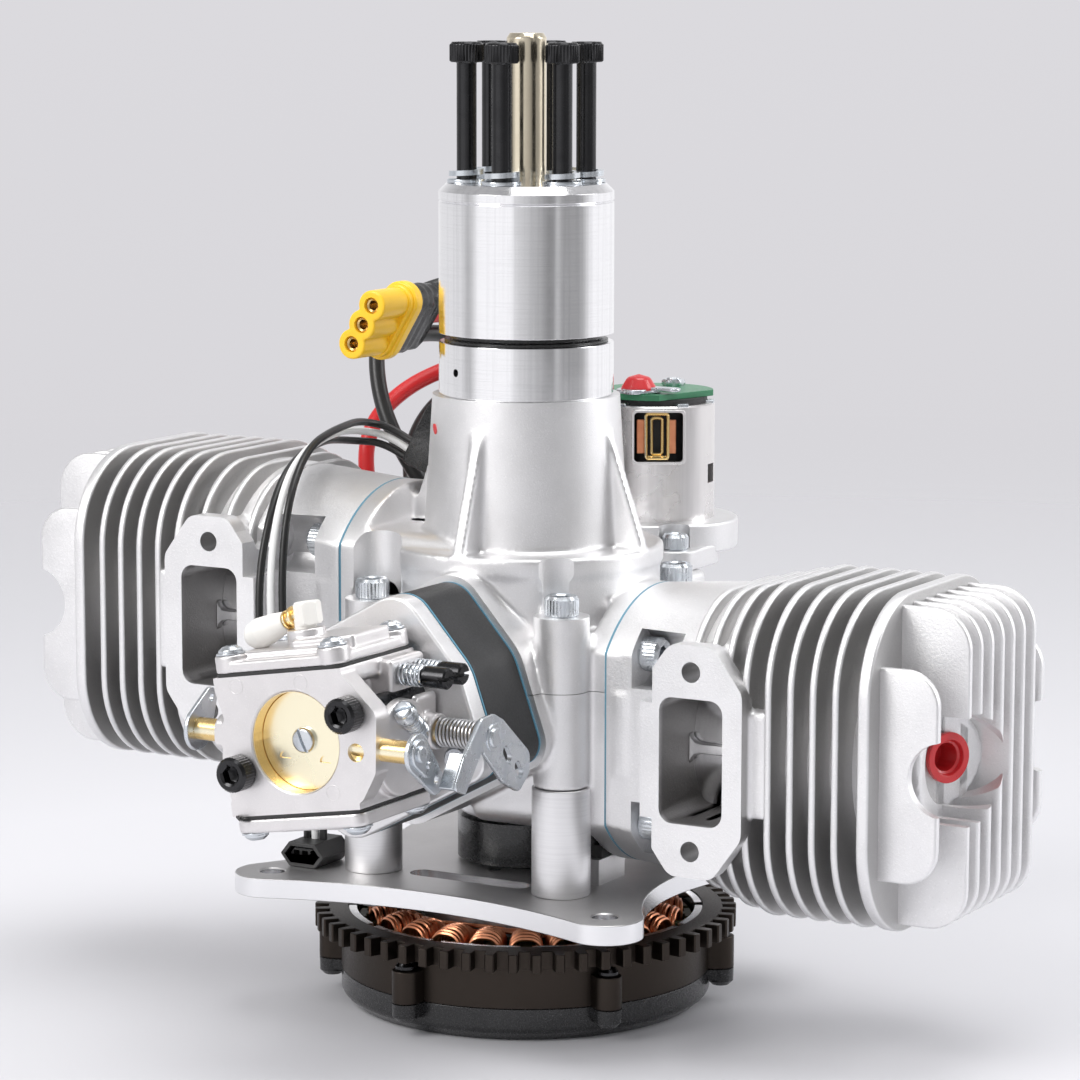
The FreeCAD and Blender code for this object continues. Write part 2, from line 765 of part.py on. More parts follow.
def shaft_seals():
    rear_top = CHAMBER_Z0 - BEARING_T
    inner = SHAFT_R + RUN_FIT
    rear = ring_z(SEAL_R, inner, rear_top - SEAL_RING_T, rear_top)
    front = ring_z(SPIGOT_R - 0.5, inner, SLEEVE_TOP, SLEEVE_TOP + SEAL_T)
    return group([rear, front])


# Cylinders

def fin(x, half_y, half_z, corner, thick=FIN_T):
    return prism(rect(half_y, half_z), corner, on_x(x - thick / 2), V(thick, 0, 0))


def head_plate(y, thick, half_z, out_x, corner):
    x0 = HEAD_X0 + 0.5
    corners = ((x0, -half_z), (out_x, -half_z), (out_x, half_z), (x0, half_z))
    return prism(corners, (1.0, corner, corner, 1.0), on_y(y - thick / 2), V(0, thick, 0))


def plug_axis():
    tilt = math.radians(PLUG_TILT)
    return V(math.cos(tilt), -math.sin(tilt), 0), V(CHAMBER_TOP_X, 0, 0)


def along_plug(radius, start, end):
    direction, foot = plug_axis()
    return Part.makeCylinder(radius, end - start, foot + direction * start, direction)


def port_outline(half_w, half_h, shoulder):
    """The long six sided flange round an exhaust port."""
    tip = half_w * 0.42
    return ((-half_w, -shoulder), (-tip, -half_h), (tip, -half_h), (half_w, -shoulder),
            (half_w, shoulder), (tip, half_h), (-tip, half_h), (-half_w, shoulder))


def cylinder_casting():
    """The right casting, with its bore along +X through the origin's height."""
    x0 = CASE_HALF_X + GASKET_T
    flange = mouth_slab(x0, x0 + MOUTH_FLANGE_T, 0)
    neck = Part.makeCone(DOME_R, NECK_R, NECK_END - x0, V(x0, 0, 0), AX)
    waist = box(x0, NECK_END, -NECK_HALF_Y, NECK_HALF_Y, -60, 60)
    core = cyl_x(CORE_R, NECK_END - 6, HEAD_X0 + 1)
    pieces = [flange, neck.common(waist), core]
    for k in range(FIN_COUNT):
        pieces.append(fin(FIN_FIRST + k * FIN_PITCH, FIN_HALF_Y, FIN_HALF_Z, FIN_CORNER_R))
    for k in range(1, NECK_FIN_COUNT + 1):
        x = FIN_FIRST - k * FIN_PITCH
        half_y = FIN_HALF_Y - k * NECK_FIN_STEP * 0.5
        half_z = FIN_HALF_Z - k * 1.2
        pieces.append(fin(x, half_y, half_z, FIN_CORNER_R - 2, FIN_T))
    pieces.append(fin(HEAD_X0 + HEAD_FLANGE_T / 2, FIN_HALF_Y, FIN_HALF_Z, FIN_CORNER_R, HEAD_FLANGE_T))
    pieces.append(cyl_x(HEAD_CORE_R, HEAD_X0, HEAD_CORE_X))
    for k in range(-HEAD_PLATE_SIDE, HEAD_PLATE_SIDE + 1):
        y = k * HEAD_PLATE_PITCH
        pieces.append(head_plate(y, HEAD_PLATE_T, HEAD_HALF_Z, HEAD_OUT_X, HEAD_CORNER_R))
    for s in (1, -1):
        pieces.append(head_plate(s * SHIELD_Y, SHIELD_T, SHIELD_HALF_Z, SHIELD_OUT_X, SHIELD_CORNER_R))
    half_w, half_h = PORT_FLANGE_HALF_W, PORT_FLANGE_HALF_H
    outline = [(PORT_X + u, v) for u, v in port_outline(half_w, half_h, PORT_FLANGE_SHOULDER)]
    face = prism(outline, 4.0, on_y(-PORT_FACE_Y), V(0, PORT_FLANGE_T, 0))
    duct = box(PORT_X - half_w + 1, PORT_X + half_w - 1, -PORT_FACE_Y + 2, -10,
               -PORT_NECK_HALF_H, PORT_NECK_HALF_H)
    pieces += [face, duct]
    for s in (1, -1):
        z = s * PORT_STUD_PITCH / 2
        pieces.append(cyl_y(PORT_STUD_BOSS_R, -PORT_FACE_Y + 1, -CORE_R + 6, PORT_X, z))
    pieces.append(box(PORT_X + half_w - 2, FIN_FIRST + FIN_PITCH, -FIN_HALF_Y, -FIN_HALF_Y + 6,
                      -PORT_PAD_HALF_H, PORT_PAD_HALF_H))
    body = fuse(pieces)
    cuts = [along_plug(PLUG_POCKET_R, PLUG_SEAT, 60)]
    for s in (1, -1):
        reach = 12
        notch = cyl_y(SHIELD_NOTCH_R, -SHIELD_Y - reach, -SHIELD_Y + 8, SHIELD_OUT_X + 1.5, 0)
        cuts.append(notch if s > 0 else notch.mirror(V(0, 0, 0), AY))
    body = body.cut(cuts)
    body = fuse([body, along_plug(PLUG_BOSS_R, 2, PLUG_SEAT)])
    spigot = cyl_x(BORE_R + SPIGOT_WALL, x0 - SPIGOT_IN, x0 + 1)
    body = fuse([body, spigot])
    cuts = [cyl_x(BORE_R, x0 - SPIGOT_IN - 1, CHAMBER_TOP_X)]
    cuts.append(along_plug(PLUG_HOLE_R, -4, PLUG_SEAT + 1))
    tunnel = rect(PORT_W / 2, PORT_H / 2, PORT_X, 0)
    cuts.append(prism(tunnel, PORT_CORNER_R, on_y(-PORT_FACE_Y - 1), V(0, PORT_FACE_Y - 18, 0)))
    for s in (1, -1):
        z = s * PORT_STUD_PITCH / 2
        cuts.append(cyl_y(PORT_STUD_R, -PORT_FACE_Y - 1, -PORT_FACE_Y + PORT_STUD_DEPTH, PORT_X, z))
    head_x = x0 + MOUTH_FLANGE_T
    for y, z in mouth_screw_points(0):
        cuts.append(cyl_x(M5_SHANK + HOLE_GAP, x0 - 1, head_x + 1, y, z))
        cuts.append(cyl_x(M5_HEAD + 0.6, head_x, head_x + M5_HEAD_H + 9, y, z))
    body = body.cut(cuts)
    wall = BORE_R + PORT_BRIDGE_T
    bridge = box(PORT_X - PORT_W / 2 - 1, PORT_X + PORT_W / 2 + 1, -wall, -BORE_R - 0.1,
                 -PORT_BRIDGE_T / 2, PORT_BRIDGE_T / 2)
    return fuse([body, bridge])


def cylinder(side, casting):
    shape = casting if side > 0 else mirrored_x(casting)
    return moved(shape, 0, 0, RIGHT_Z if side > 0 else LEFT_Z)


def cylinder_gasket(side):
    mouth = cyl_x(BORE_R + SPIGOT_WALL + HOLE_GAP, CASE_HALF_X - 1, CASE_HALF_X + 2)
    holes = [cyl_x(M5_SHANK + HOLE_GAP, CASE_HALF_X - 1, CASE_HALF_X + 2, y, z)
             for y, z in mouth_screw_points(0)]
    sheet = mouth_slab(CASE_HALF_X, CASE_HALF_X + GASKET_T, 0).cut([mouth] + holes)
    return cylinder(side, sheet)


def cylinder_screws():
    seat = CASE_HALF_X + GASKET_T + MOUTH_FLANGE_T
    length = MOUTH_FLANGE_T + GASKET_T + MOUTH_SCREW_DEPTH - 1
    screw = socket_screw(M5_SHANK, M5_HEAD, M5_HEAD_H, M5_KEY, length)
    out = []
    for side, axis_z in ((1, RIGHT_Z), (-1, LEFT_Z)):
        for y, z in mouth_screw_points(axis_z):
            out.append(aimed(screw, V(side, 0, 0), V(side * seat, y, z)))
    return group(out)


def plug_cap(side):
    """A red plastic bung in the spark plug hole."""
    flange = along_plug(CAP_FLANGE_R, PLUG_SEAT, PLUG_SEAT + CAP_FLANGE_T)
    stem = along_plug(PLUG_HOLE_R - SEAT_GAP, PLUG_SEAT - CAP_LENGTH, PLUG_SEAT + 0.5)
    cup = along_plug(CAP_BORE_R, PLUG_SEAT - CAP_LENGTH + 1.5, PLUG_SEAT + CAP_FLANGE_T + 1)
    return cylinder(side, fuse([flange, stem]).cut(cup))


# Pistons, at the middle of their stroke

def piston():
    top = PISTON_X + PISTON_CROWN
    bottom = PISTON_X - PISTON_SKIRT
    radius = BORE_R - RUN_FIT
    body = cyl_x(radius, bottom, top)
    hollow = cyl_x(radius - PISTON_WALL, bottom - 1, top - 5)
    boss = cyl_z(WRIST_R + 3, -radius + 2, radius - 2, PISTON_X, 0)
    boss = boss.cut(cyl_z(WRIST_R + 4, -8, 8, PISTON_X, 0))
    body = fuse([body.cut(hollow), boss])
    cuts = [cyl_z(WRIST_R + SEAT_GAP, -40, 40, PISTON_X, 0)]
    for z in ring_starts():
        groove = cyl_x(radius + 1, z, z + RING_T).cut(cyl_x(radius - RING_D, z - 1, z + RING_T + 1))
        cuts.append(groove)
    return body.cut(cuts)


def ring_starts():
    top = PISTON_X + PISTON_CROWN
    return (top - 4.5, top - 8.5)


def piston_rings():
    radius = BORE_R - RUN_FIT
    rings = []
    for x in ring_starts():
        gap = SEAT_GAP
        band = cyl_x(radius, x + gap, x + RING_T - gap)
        rings.append(band.cut(cyl_x(radius - RING_D + gap, x, x + RING_T)))
    return group(rings)


def wrist_pin():
    half = BORE_R - 3
    return ring_z(WRIST_R, WRIST_R - 2, -half, half, PISTON_X, 0)


# Intake: heat block, adaptor, gaskets

INTAKE_PLANES = {}
INTAKE_PLANES["block_back"] = INTAKE_FACE_Y + SHEET_T
INTAKE_PLANES["block_front"] = INTAKE_PLANES["block_back"] + BLOCK_T
INTAKE_PLANES["adaptor_back"] = INTAKE_PLANES["block_front"] + SHEET_T
INTAKE_PLANES["adaptor_front"] = INTAKE_PLANES["adaptor_back"] + ADAPTOR_T
CARB_BACK = INTAKE_PLANES["adaptor_front"] + SHEET_T
CARB_FRONT = CARB_BACK + CARB_DEPTH


def carb_screw_points():
    a = math.radians(CARB_SCREW_TURN)
    u, v = math.cos(a) * CARB_SCREW_PITCH / 2, math.sin(a) * CARB_SCREW_PITCH / 2
    return [(BORE_X + u, BORE_Z + v), (BORE_X - u, BORE_Z - v)]


def along_intake(shape, y0, y1, clear=HOLE_GAP):
    """Cuts the air passage and the two pairs of screw holes."""
    cuts = [cyl_y(INTAKE_BORE_R, -y1 - 1, -y0 + 1, BORE_X, BORE_Z)]
    for x, z in intake_screw_points():
        cuts.append(cyl_y(M4_SHANK + clear, -y1 - 1, -y0 + 1, x, z))
    for x, z in carb_screw_points():
        cuts.append(cyl_y(M5_SHANK + clear, -y1 - 1, -y0 + 1, x, z))
    return shape.cut(cuts)


def insulator_block():
    y0, y1 = INTAKE_PLANES["block_back"], INTAKE_PLANES["block_front"]
    return along_intake(intake_slab(y0, y1), y0, y1)


def intake_adaptor():
    y0, y1 = INTAKE_PLANES["adaptor_back"], INTAKE_PLANES["adaptor_front"]
    return along_intake(intake_slab(y0, y1), y0, y1)


def rolled(shape):
    """Rolls a carburettor piece about the bore, right side up."""
    return turned(shape, -CARB_ROLL, AY, V(BORE_X, 0, BORE_Z))


def carb_rect(u0, u1, v0, v1):
    return ((BORE_X + u0, BORE_Z + v0), (BORE_X + u1, BORE_Z + v0),
            (BORE_X + u1, BORE_Z + v1), (BORE_X + u0, BORE_Z + v1))


def carb_slab(u0, u1, v0, v1, y0, y1, corner):
    return rolled(prism(carb_rect(u0, u1, v0, v1), corner, on_y(-y1), V(0, y1 - y0, 0)))


def intake_gaskets():
    sheets = []
    for y in (INTAKE_FACE_Y, INTAKE_PLANES["block_front"]):
        sheets.append(along_intake(intake_slab(y, y + SHEET_T), y, y + SHEET_T))
    y = INTAKE_PLANES["adaptor_front"]
    waist = CARB_WAIST_IN
    sheet = carb_slab(-CARB_LEFT + waist, CARB_RIGHT - waist, -CARB_HALF_H, CARB_HALF_H, y, y + SHEET_T,
                      CARB_CORNER_R)
    sheets.append(along_intake(sheet, y, y + SHEET_T))
    return group(sheets)


def intake_screws():
    length = ADAPTOR_T + BLOCK_T + 2 * SHEET_T + INTAKE_SCREW_DEPTH - 1
    screw = socket_screw(M4_SHANK, M4_HEAD, M4_HEAD_H, M4_KEY, length)
    y = -INTAKE_PLANES["adaptor_front"]
    return group(aimed(screw, V(0, -1, 0), V(x, y, z)) for x, z in intake_screw_points())


# Carburettor

def shaft_boss(y, x0, x1, radius):
    return cyl_x(radius, x0, x1, -y, BORE_Z)


def carburettor_body():
    half = CARB_HALF_H
    outline = [(BORE_X + u, BORE_Z + v) for u, v in CARB_FLANGE]
    front = prism(outline, CARB_FLANGE_RADII, on_y(-CARB_FRONT), V(0, CARB_FLANGE_T, 0))
    waist = CARB_WAIST_IN
    middle = carb_slab(-CARB_LEFT + waist, CARB_RIGHT - waist, -half, half, CARB_BACK,
                       CARB_FRONT - CARB_FLANGE_T + 1, CARB_CORNER_R)
    back = CARB_BACK + CARB_BACK_IN
    corner = CARB_RIM_CORNER_R
    top = carb_slab(-CARB_LEFT, CARB_RIGHT, half - CARB_RIM, half, back, CARB_FRONT, corner)
    base = carb_slab(-CARB_LEFT, CARB_RIGHT, -half, -half + CARB_RIM, back, CARB_FRONT, corner)
    pieces = [front, middle, top, base]
    left = BORE_X - CARB_LEFT - SHAFT_BOSS_OUT
    pieces.append(shaft_boss(CHOKE_Y, left, BORE_X + CARB_RIGHT + SHAFT_BOSS_OUT, SHAFT_BOSS_R))
    pieces.append(shaft_boss(THROTTLE_Y, left, THROTTLE_BOSS_X, SHAFT_BOSS_R))
    lug = box(BORE_X + CARB_RIGHT - 5, IDLE_X + 2.2, -IDLE_Y - 3, -IDLE_Y + 3, IDLE_LUG_Z, IDLE_LUG_Z + 3)
    pieces.append(lug)
    pieces.append(box(BORE_X + CARB_RIGHT - 8, MIX_X, -MIX_YS[0] - 4, -MIX_YS[1] + 3.2, MIX_Z - 4, MIX_Z + 3))
    body = fuse(pieces)
    throat_end, venturi_end = CARB_FRONT - THROAT_DEPTH, CARB_FRONT - THROAT_DEPTH - VENTURI_L
    cuts = [cyl_y(THROAT_R, -CARB_FRONT - 1, -throat_end, BORE_X, BORE_Z)]
    cuts.append(cyl_y(VENTURI_R, -throat_end - 1, -venturi_end + 1, BORE_X, BORE_Z))
    cuts.append(cyl_y(THROTTLE_BORE_R, -venturi_end, -CARB_BACK + 1, BORE_X, BORE_Z))
    reach = 60
    cuts.append(shaft_boss(CHOKE_Y, -reach, reach, CHOKE_SHAFT_R + RUN_FIT))
    cuts.append(shaft_boss(THROTTLE_Y, -reach, reach, THROTTLE_SHAFT_R + RUN_FIT))
    for x, z in carb_screw_points():
        cuts.append(cyl_y(M5_SHANK + HOLE_GAP, -CARB_FRONT - 1, -CARB_BACK + 1, x, z))
    cuts.append(cyl_y(JET_R, -CARB_FRONT - 1, -CARB_FRONT + 3, JET_X, JET_Z))
    cuts.append(cyl_z(IDLE_R + SEAT_GAP, IDLE_LUG_Z - 1, IDLE_LUG_Z + 4, IDLE_X, -IDLE_Y))
    for y in MIX_YS:
        cuts.append(cyl_x(MIX_R + SEAT_GAP, MIX_X - MIX_DEPTH, MIX_X + 1, -y, MIX_Z))
    for u, y in cover_screw_points():
        for v in (-half + 4, half - 4):
            start = min(v, v * 2)
            hole = cyl_z(COVER_SHANK_R + SEAT_GAP, BORE_Z + start, BORE_Z + start + abs(v), BORE_X + u, -y)
            cuts.append(rolled(hole))
    return body.cut(cuts)


def cover_screw_points():
    inset = COVER_SCREW_EDGE
    left, right = -CARB_LEFT + inset, CARB_RIGHT - inset
    near, far = CARB_FRONT - inset, CARB_BACK + CARB_BACK_IN + inset
    return [(u, y) for u in (left, right) for y in (near, far)]


def cover_holes(v0, v1):
    return [rolled(cyl_z(COVER_SHANK_R + HOLE_GAP, BORE_Z + v0 - 1, BORE_Z + v1 + 1, BORE_X + u, -y))
            for u, y in cover_screw_points()]


def cover_sheet(v0, v1, corner=CARB_CORNER_R, inset=0.0):
    """A flat layer above or below the body, with the cover's outline."""
    x0, x1 = BORE_X - CARB_LEFT + inset, BORE_X + CARB_RIGHT - inset
    y0, y1 = -CARB_FRONT + inset, -CARB_BACK - CARB_BACK_IN - inset
    corners = ((x0, y0), (x1, y0), (x1, y1), (x0, y1))
    return rolled(prism(corners, corner, on_z(BORE_Z + v0), V(0, 0, v1 - v0)))


def carb_gaskets():
    half = CARB_HALF_H
    top = cover_sheet(half, half + COVER_GASKET_T).cut(cover_holes(half, half + 1))
    base = cover_sheet(-half - COVER_GASKET_T, -half).cut(cover_holes(-half - 1, -half))
    return group([top, base])


def pump_cover():
    v0 = CARB_HALF_H + COVER_GASKET_T
    v1 = v0 + PUMP_COVER_T
    cover = cover_sheet(v0, v1)
    x, top = BORE_X + INLET_U, BORE_Z + v1 + INLET_BOSS_H
    boss = rolled(cyl_z(INLET_BOSS_R, BORE_Z + v1 - 0.5, top, x, -INLET_Y))
    cover = fuse([cover, boss])
    well = rolled(cyl_z(INLET_STEM_R + SEAT_GAP, top - 3, top + 1, x, -INLET_Y))
    return cover.cut(cover_holes(v0, v1) + [well])


def metering_cover():
    v0 = -CARB_HALF_H - COVER_GASKET_T
    v1 = v0 - METER_COVER_T
    cover = cover_sheet(v1, v0)
    middle = (CARB_FRONT + CARB_BACK) / 2
    boss = rolled(cyl_z(METER_BOSS_R, BORE_Z + v1 - METER_BOSS_H, BORE_Z + v1 + 0.5, BORE_X - 1, -middle))
    vent = rolled(cyl_z(1.2, BORE_Z + v1 - METER_BOSS_H - 1, BORE_Z + v0 - 1, BORE_X - 1, -middle))
    return fuse([cover, boss]).cut(cover_holes(v1, v0) + [vent])


def pan_screw(length):
    head = cyl_z(COVER_SCREW_R, 0, COVER_SCREW_H)
    slot = box(-4, 4, -0.4, 0.4, COVER_SCREW_H - 0.9, COVER_SCREW_H + 1)
    return fuse([head.cut(slot), cyl_z(COVER_SHANK_R, -length, 0.4)])


def cover_screws():
    v_top = CARB_HALF_H + COVER_GASKET_T + PUMP_COVER_T
    v_base = CARB_HALF_H + COVER_GASKET_T + METER_COVER_T
    out = []
    for u, y in cover_screw_points():
        top = moved(pan_screw(PUMP_COVER_T + COVER_GASKET_T + COVER_SCREW_IN), BORE_X + u, -y, BORE_Z + v_top)
        base = turned(pan_screw(METER_COVER_T + COVER_GASKET_T + COVER_SCREW_IN), 180, AX)
        base = moved(base, BORE_X + u, -y, BORE_Z - v_base)
        out += [rolled(top), rolled(base)]
    return group(out)


def carburettor_screws():
    screw = socket_screw(M5_SHANK, M5_HEAD, M5_HEAD_H, M5_KEY, CARB_FRONT - INTAKE_PLANES["block_back"] - 6)
    return group(aimed(screw, V(0, -1, 0), V(x, -CARB_FRONT, z)) for x, z in carb_screw_points())


def inlet_base():
    return CARB_HALF_H + COVER_GASKET_T + PUMP_COVER_T + INLET_BOSS_H


def fuel_elbow():
    """A moulded elbow that stands in the pump cover and points along -X."""
    z0 = BORE_Z + inlet_base()
    x, y = BORE_X + INLET_U, -INLET_Y
    stem = cyl_z(INLET_STEM_R, z0 - 3, z0 + 6, x, y)
    arm_z = z0 + 4.2
    arm = cyl_x(1.7, x - 7.5, x, y, arm_z)
    barb = Part.makeCone(1.7, 2.2, 1.6, V(x - 5.0, y, arm_z), AX)
    return rolled(fuse([stem, arm, barb]))


def fuel_cap():
    z = BORE_Z + inlet_base() + 4.2
    x, y = BORE_X + INLET_U, -INLET_Y
    tube = cyl_x(INLET_CAP_R, x - INLET_CAP_END, x - 5.4, y, z)
    tube = tube.makeFillet(1.6, [e for e in tube.Edges if e.BoundBox.XMax < x - INLET_CAP_END + 0.1
                                 and e.BoundBox.YLength > 1])
    return rolled(tube.cut(cyl_x(1.7 + SEAT_GAP, x - 7.6, x - 5, y, z)))


def mixture_screws():
    out = []
    for y in MIX_YS:
        shank = cyl_x(MIX_R, MIX_X - MIX_DEPTH + 1, MIX_HEAD_X + 0.5, -y, MIX_Z)
        head = cyl_x(MIX_HEAD_R, MIX_HEAD_X, MIX_HEAD_X + MIX_HEAD_L, -y, MIX_Z)
        slot = box(MIX_HEAD_X + MIX_HEAD_L - 1.2, MIX_HEAD_X + MIX_HEAD_L + 1, -y - 0.45, -y + 0.45,
                   MIX_Z - 4, MIX_Z + 4)
        out.append(fuse([shank, head.cut(slot)]))
    return group(out)


def coil_tube(outer, inner, x0, x1, y, z):
    return cyl_x(outer, x0, x1, y, z).cut(cyl_x(inner, x0 - 1, x1 + 1, y, z))


def mixture_springs():
    return group(coil_tube(MIX_HEAD_R + 0.4, MIX_R + 0.5, MIX_X, MIX_HEAD_X, -y, MIX_Z) for y in MIX_YS)


def idle_screw():
    top = IDLE_LUG_Z + 3 + IDLE_SPRING_L
    shank = cyl_z(IDLE_R, IDLE_LUG_Z - 4, top + 0.5, IDLE_X, -IDLE_Y)
    head = cyl_z(IDLE_HEAD_R, top, top + 2.4, IDLE_X, -IDLE_Y)
    return fuse([shank, head])


def idle_spring():
    z0 = IDLE_LUG_Z + 3
    return ring_z(IDLE_HEAD_R - 0.2, IDLE_R + 0.3, z0, z0 + IDLE_SPRING_L, IDLE_X, -IDLE_Y)


# Choke and throttle: each shaft lies along X and carries its disc on a flat

def split_shaft(y, radius, x0, x1, bore_r):
    shaft = cyl_x(radius, x0, x1, -y, BORE_Z)
    reach = bore_r - RUN_FIT
    flat = box(BORE_X - reach, BORE_X + reach, -y - radius - 1, -y, BORE_Z - radius - 1, BORE_Z + radius + 1)
    screw_hole = cyl_y(DISC_SCREW_R + SEAT_GAP, -y - 1, -y + radius + 1, BORE_X, BORE_Z)
    return shaft.cut([flat, screw_hole])


def shaft_disc(y, radius):
    disc = cyl_y(radius, -y - DISC_T, -y, BORE_X, BORE_Z)
    return disc.cut(cyl_y(DISC_SCREW_R + SEAT_GAP, -y - DISC_T - 1, -y + 1, BORE_X, BORE_Z))


def disc_screw(y):
    head = cyl_y(DISC_SCREW_R + 1.4, -y - DISC_T - 1.2, -y - DISC_T, BORE_X, BORE_Z)
    shank = cyl_y(DISC_SCREW_R, -y - DISC_T - 0.5, -y + 1.6, BORE_X, BORE_Z)
    return fuse([head, shank])


def link_plate(x0, ends):
    """A flat link across the shafts: discs at (y, z, r) joined by their common tangents."""
    slabs = [cyl_x(r, x0, x0 + LEVER_T, y, z) for y, z, r in ends]
    for a, b in zip(ends, ends[1:]):
        along = V(b[0] - a[0], b[1] - a[1], 0)
        length = along.Length
        along.normalize()
        across = V(-along.y, along.x, 0)
        lean = math.asin((a[2] - b[2]) / length)
        points = []
        for (y, z, r), s in ((a, 1), (b, 1), (b, -1), (a, -1)):
            tilt = across * (s * math.cos(lean)) + along * math.sin(lean)
            points.append(V(x0, y + tilt.x * r, z + tilt.y * r))
        slabs.append(Part.Face(Part.makePolygon(points + [points[0]])).extrude(V(LEVER_T, 0, 0)))
    return fuse(slabs)


def choke_lever():
    y, z = -CHOKE_Y + CHOKE_ARM[0], BORE_Z + CHOKE_ARM[1]
    plate = link_plate(CHOKE_LEFT_X, ((-CHOKE_Y, BORE_Z, CHOKE_LEVER_R), (y, z, CHOKE_ARM_R)))
    x0, x1 = CHOKE_LEFT_X - 1, CHOKE_LEFT_X + LEVER_T + 1
    shaft = shaft_boss(CHOKE_Y, x0, x1, CHOKE_SHAFT_R - LEVER_NECK_IN + SEAT_GAP)
    hole = cyl_x(CHOKE_ARM_HOLE_R, x0, x1, y, z)
    return plate.cut([shaft, hole])


def choke_cam():
    y, z = -CHOKE_Y + CHOKE_CAM_ARM[0], BORE_Z + CHOKE_CAM_ARM[1]
    ends = ((-CHOKE_Y, BORE_Z, CHOKE_CAM_R), (y, z, CHOKE_CAM_ARM_R))
    plate = link_plate(CHOKE_RIGHT_X - LEVER_T, ends)
    x0, x1 = CHOKE_RIGHT_X - LEVER_T - 1, CHOKE_RIGHT_X + 1
    shaft = shaft_boss(CHOKE_Y, x0, x1, CHOKE_SHAFT_R - LEVER_NECK_IN + SEAT_GAP)
    hole = cyl_x(CHOKE_CAM_HOLE_R, x0, x1, y, z)
    return plate.cut([shaft, hole])


def choke_shaft():
    shaft = split_shaft(CHOKE_Y, CHOKE_SHAFT_R, CHOKE_LEFT_X + LEVER_T, CHOKE_RIGHT_X - LEVER_T, THROAT_R)
    neck = CHOKE_SHAFT_R - LEVER_NECK_IN
    left = shaft_boss(CHOKE_Y, CHOKE_LEFT_X - 0.6, CHOKE_LEFT_X + LEVER_T + 0.5, neck)
    right = shaft_boss(CHOKE_Y, CHOKE_RIGHT_X - LEVER_T - 0.5, CHOKE_RIGHT_X + 0.8, neck)
    return fuse([shaft, left, right])


def throttle_shaft():
    shaft = split_shaft(THROTTLE_Y, THROTTLE_SHAFT_R, THROTTLE_LEFT_X, THROTTLE_RIGHT_X, THROTTLE_BORE_R)
    return fuse([shaft, shaft_boss(THROTTLE_Y, THROTTLE_RIGHT_X - 0.5, THROTTLE_RIGHT_X + LEVER_T + 0.8,
                                   THROTTLE_SHAFT_R - LEVER_NECK_IN)])


def throttle_lever():
    y, z = -THROTTLE_Y, BORE_Z
    hub = (y, z, THROTTLE_LEVER_R)
    arm = link_plate(THROTTLE_RIGHT_X, (hub, (y + THROTTLE_ARM_Y, z - THROTTLE_ARM_Z, THROTTLE_ARM_R)))
    tail_y, tail_z = THROTTLE_TAIL
    tail = link_plate(THROTTLE_RIGHT_X, (hub, (y + tail_y, z + tail_z, THROTTLE_TAIL_R)))
    half = LEVER_T / 2
    tab = box(THROTTLE_RIGHT_X - THROTTLE_TAB_W, THROTTLE_RIGHT_X + half, -half, half,
              -THROTTLE_TAB_L / 2, THROTTLE_TAB_L / 2)
    tab_y, tab_z = THROTTLE_TAB
    tab = moved(turned(tab, 40, AX), 0, y + tab_y, z + tab_z)
    neck = THROTTLE_SHAFT_R - LEVER_NECK_IN + SEAT_GAP
    cuts = [cyl_x(neck, THROTTLE_RIGHT_X - 1, THROTTLE_RIGHT_X + 3, y, z)]
    for share in (0.5, 1.0):
        cuts.append(cyl_x(LINK_HOLE_R, THROTTLE_RIGHT_X - 1, THROTTLE_RIGHT_X + 3,
                          y + THROTTLE_ARM_Y * share, z - THROTTLE_ARM_Z * share))
    return fuse([arm, tail, tab]).cut(cuts)


def throttle_spring():
    return coil_tube(THROTTLE_SPRING_R, THROTTLE_SPRING_R - 0.9, THROTTLE_BOSS_X, THROTTLE_RIGHT_X - 0.4,
                     -THROTTLE_Y, BORE_Z)


# Crankshaft and what turns with it

def crankshaft():
    front_top = HUB_Z0 + HUB_SOCKET
    pieces = [cyl_z(SHAFT_R, FLOOR_Z + 2, CHAMBER_Z0 + 2)]
    pieces.append(cyl_z(SHAFT_R, CHAMBER_Z1 - 2, front_top))
    z0 = CHAMBER_Z0 + WEB_GAP
    for side, axis_z in ((-1, RIGHT_Z), (1, LEFT_Z)):
        pin = cyl_z(CRANK_PIN_R, axis_z - PIN_HALF_W - 1, axis_z + PIN_HALF_W + 1, 0, side * CRANK_THROW)
        pieces.append(pin)
    spans = ((z0, RIGHT_Z - PIN_HALF_W, -1), (LEFT_Z + PIN_HALF_W, CHAMBER_Z1 - WEB_GAP, 1))
    for low, high, side in spans:
        web = cyl_z(WEB_R, low, high)
        trim = [box(s * WEB_ARM, s * (WEB_R + 1), -4, WEB_R + 1, low - 1, high + 1) if s > 0 else
                box(-WEB_R - 1, -WEB_ARM, -4, WEB_R + 1, low - 1, high + 1) for s in (1, -1)]
        web = web.cut(trim)
        pieces.append(web if side > 0 else turned(web, 180))
    bar = box(-WEB_ARM, WEB_ARM, -WEB_R, WEB_R, RIGHT_Z + PIN_HALF_W, LEFT_Z - PIN_HALF_W)
    pieces.append(bar.common(cyl_z(WEB_R, CHAMBER_Z0, CHAMBER_Z1)))
    return fuse(pieces)


def bolt_points():
    return [polar(BOLT_RING_R, BOLT_TURN + 360 / BOLT_COUNT * k) for k in range(BOLT_COUNT)]


